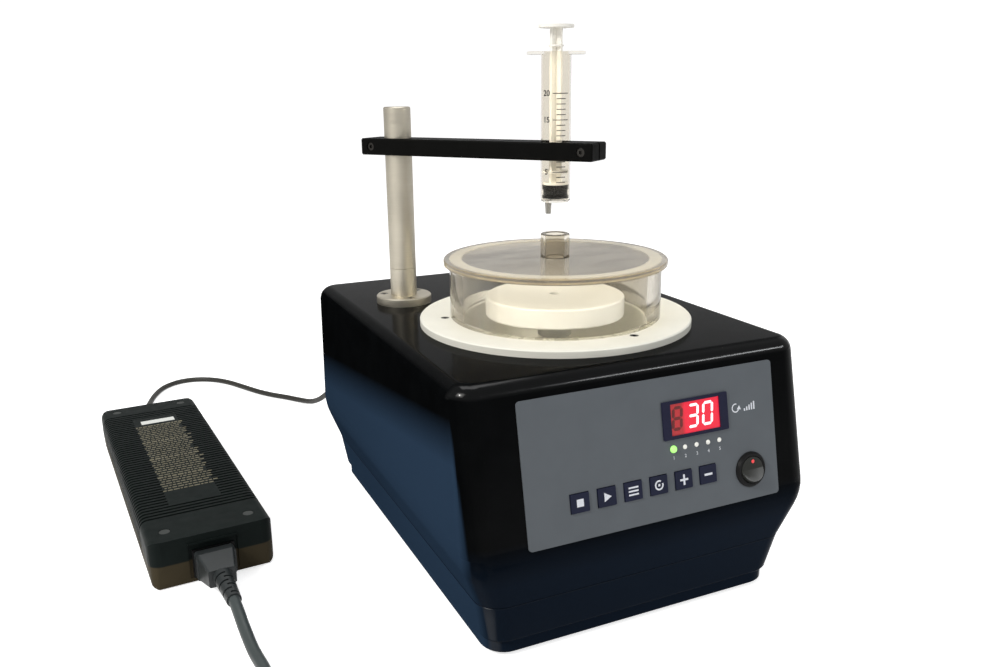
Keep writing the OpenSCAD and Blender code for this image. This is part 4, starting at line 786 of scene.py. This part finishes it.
# Switch: red dot on the upper half of the rocker, which is the flat one at rest
SWITCH_X, SWITCH_Y = 74.4, 24.7
ROCKER_TOP = 3.2
DOT_R, DOT_HIGH = 1.25, 0.35
dot_place = on_face(SWITCH_X + 0.6, SWITCH_Y + 5.4, ROCKER_TOP)
# The dot glows as painted light.
attach(dome("rocker_dot", dot_place, DOT_R, DOT_HIGH, 3, 16), "rocker", "red")

# Syringe: one tick a millilitre, a long one and its number every five. The scale faces the front,
# turned a little to the left, and x runs round the barrel.
BARREL_R = 10.1
SCALE_ZERO, TICK_PITCH = 260.7, 3.42
SCALE_TURN = math.radians(-8.3)
LONG_TICK, SHORT_TICK = (-5.5, 5.5), (-3.0, 3.4)
TICK_SECTION = [(-0.28, 0.02), (0.28, 0.02), (0.28, 0.1), (-0.28, 0.1)]
TICK_CUTS = 6
NUMBER_X = -10.2
upright = Matrix(((1, 0, 0), (0, 0, -1), (0, 1, 0))).to_4x4()
barrel = Matrix.Translation((0, SPINDLE_Y, 0)) @ Matrix.Rotation(SCALE_TURN, 4, "Z") @ upright


def tick_sections(ml):
    """Four corners of a tick at each of its cuts, bent round the barrel."""
    start, end = SHORT_TICK if ml % 5 else LONG_TICK
    y = SCALE_ZERO + ml * TICK_PITCH
    return [[barrel @ (wrap((start + (end - start) * k / TICK_CUTS, y + dy, z), BARREL_R) * MM)
             for dy, z in TICK_SECTION] for k in range(TICK_CUTS + 1)]


verts, faces = [], []
for ml in range(3, 21):
    add_strip(verts, faces, tick_sections(ml))
attach(mesh_object("syringe_ticks", verts, faces, smooth=False), "syringe", "scale")
numbers = [(str(ml), NUMBER_X, SCALE_ZERO + ml * TICK_PITCH, 5.2) for ml in (5, 10, 15, 20)]
attach(number_mesh("syringe_numbers", numbers, barrel, 0.1, BARREL_R + 0.08, bold=0.12),
       "syringe", "scale")

# Adapter: blank strip and rows of plain dashes where a rating label goes, from the middle of its top
ADAPTER_AT, ADAPTER_TURN = Vector((-251, 169.4, 36.5)), math.radians(3.7)
ADAPTER = Matrix.Translation(ADAPTER_AT * MM) @ Matrix.Rotation(ADAPTER_TURN, 4, "Z")
STRIP = bar(1.5, 97, 29, 9)
CAP_R, CAP_X, CAP_ENDS = 3.7, 29, (-134, 139)
FIRST_ROW, ROWS, ROW_PITCH = 86, 34, 4.6
ROW_LEFT, ROW_RIGHT = -19, 20
INDENT_STEP, RAGGED_STEP = 0.8, 1.5
DASH_SHORT, DASH_STEP, DASH_GAP = 1.6, 0.9, 0.9
DASH_HIGH, HEADING_HIGH = 1.7, 2.6
attach(outlines_mesh("adapter_strip", [STRIP], ADAPTER, 0.12), "housing", "sticker")
caps = [arc(sx * CAP_X, y, CAP_R, 0, 345, 23) for y in CAP_ENDS for sx in (-1, 1)]
attach(outlines_mesh("adapter_screw_caps", caps, ADAPTER, -0.2, 0.45), "housing", "cap")


def dash_row(row):
    """One row of dashes of different lengths, with uneven ends. Every ninth row is a heading."""
    out = []
    x = ROW_LEFT + INDENT_STEP * ((row * 7) % 3)
    end = ROW_RIGHT - RAGGED_STEP * ((row * 5) % 4)
    high = DASH_HIGH if row % 9 else HEADING_HIGH
    k = row
    while x < end:
        w = DASH_SHORT + DASH_STEP * ((k * 5) % 4)
        out.append(bar(x + w / 2, FIRST_ROW - row * ROW_PITCH, w, high))
        x += w + DASH_GAP
        k += 1
    return out


dashes = [dash for row in range(ROWS) for dash in dash_row(row)]
attach(outlines_mesh("adapter_dashes", dashes, ADAPTER, 0.06), "housing", "print")

# Ties round the spare cord
TIE_WIDE, TIE_THICK, TIE_SLACK = 9, 1.0, 0.05
ABOVE_BENCH = 0.02


def coil_tie(name, angle):
    """Band round the bundle of turns, closed on itself."""
    half = MAINS_D / MM / 2
    corners = [(OUTER_R, LOW_LAYER, -90), (OUTER_R, TOP_LAYER, 0), (INNER_R, TOP_LAYER, 90),
               (INNER_R, LOW_LAYER, 180)]
    near, far, side = half + TIE_SLACK, half + TIE_THICK, TIE_WIDE / 2
    turn = Matrix.Rotation(math.radians(angle), 4, "Z")
    spin = Matrix.Translation(Vector((COIL_X, COIL_Y, 0)) * MM) @ turn
    sections = []
    for cx, cz, start in corners:
        for k in range(7):
            a = math.radians(start + 15 * k)
            sections.append([spin @ (Vector((cx + rad * math.cos(a), y,
                                             max(ABOVE_BENCH, cz + rad * math.sin(a)))) * MM)
                             for rad, y in ((near, -side), (near, side), (far, side), (far, -side))])
    verts, faces = [], []
    add_strip(verts, faces, sections, closed=True)
    return mesh_object(name, verts, faces, smooth=False)


ties = [attach(coil_tie("cord_tie_" + side, angle), "housing", "black")
        for side, angle in (("front", 235), ("side", 345))]


# ---------------------------------------------------------------- floor, world and lamps
# How strongly the floor shines by itself, and the part of it that glossy surfaces show
FLOOR_GLOW, FLOOR_IN_GLOSS = 0.7, 0.35
# Share of the world's white that lights the object
WORLD_LIGHT = 0.4
# Floor that bends up to a wall behind the object, along the camera's bearing, in metres
FLOOR_FRONT, BEND_START, BEND_R, WALL_TOP, HALF_WIDTH = -3.0, 3.2, 1.2, 4.0, 6
BEND_CUTS = 8


def ray_kinds(tree):
    """1 for a ray from the camera, straight or through clear pieces, and 1 for a glossy ray."""
    rays = tree.nodes.new("ShaderNodeLightPath").outputs
    seen = math_node(tree, "MAXIMUM", rays["Is Camera Ray"], rays["Is Transmission Ray"])
    return seen, rays["Is Glossy Ray"]


def stage_material():
    """White floor, brighter to the eye and in glossy pieces than the light that it gives the object."""
    material = bpy.data.materials.new("stage_white")
    material.use_nodes = True
    tree = material.node_tree
    wire = tree.links.new
    tree.nodes.remove(tree.nodes["Principled BSDF"])
    white = tree.nodes.new("ShaderNodeBsdfDiffuse")
    white.inputs["Color"].default_value = (0.86, 0.86, 0.86, 1)
    seen, glossy = ray_kinds(tree)
    shown = math_node(tree, "MAXIMUM", seen, math_node(tree, "MULTIPLY", glossy, FLOOR_IN_GLOSS))
    shine = tree.nodes.new("ShaderNodeEmission")
    wire(math_node(tree, "MULTIPLY", shown, FLOOR_GLOW), shine.inputs["Strength"])
    both = tree.nodes.new("ShaderNodeAddShader")
    wire(white.outputs[0], both.inputs[0])
    wire(shine.outputs[0], both.inputs[1])
    wire(both.outputs[0], tree.nodes["Material Output"].inputs["Surface"])
    return material


profile = [(FLOOR_FRONT, 0.0)]
for i in range(BEND_CUTS + 1):
    a = math.radians(90 * i / BEND_CUTS)
    profile.append((BEND_START + BEND_R * math.sin(a), BEND_R - BEND_R * math.cos(a)))
profile.append((BEND_START + BEND_R, WALL_TOP))
n = len(profile)
verts = [(x, y, z) for x in (-HALF_WIDTH, HALF_WIDTH) for y, z in profile]
faces = [(i, i + 1, n + i + 1, n + i) for i in range(n - 1)]
floor = mesh_object("stage_floor", verts, faces)
floor.matrix_world = Matrix.Rotation(-AZ, 4, "Z")
floor.data.materials.append(stage_material())

world = bpy.data.worlds.new("world")
scene.world = world
world.use_nodes = True
sky = world.node_tree
background = sky.nodes["Background"]
background.inputs["Color"].default_value = (1, 1, 1, 1)
brightness = math_node(sky, "MULTIPLY_ADD", ray_kinds(sky)[0], 1 - WORLD_LIGHT, WORLD_LIGHT)
sky.links.new(brightness, background.inputs["Strength"])


def area(name, place, target, size, power, colour=(1, 1, 1)):
    """Rectangular lamp at a place, aimed at a target, in metres and watts."""
    lamp = bpy.data.lights.new(name, "AREA")
    lamp.shape = "RECTANGLE"
    lamp.size, lamp.size_y = size
    lamp.energy = power
    lamp.color = colour
    ob = link(bpy.data.objects.new(name, lamp))
    aim = Vector(target) - Vector(place)
    ob.matrix_world = Matrix.Translation(place) @ aim.to_track_quat("-Z", "Y").to_matrix().to_4x4()
    return ob


WARM, COOL = (1, 0.985, 0.95), (0.96, 0.98, 1)
area("key", (-1.35, -0.45, 1.3), (0, 0, 0.12), (0.9, 0.7), 10, WARM)
area("fill", (1.3, -1.4, 1.1), (0, 0, 0.15), (1.0, 0.1), 10, COOL)
area("glint", (-1.32, -0.4, 1.22), (0, 0, 0.12), (0.12, 0.12), 10, WARM)
area("top", (0.1, 0.4, 1.9), (0, 0, 0.15), (1.2, 0.9), 11)

scene.view_settings.view_transform = "Standard"
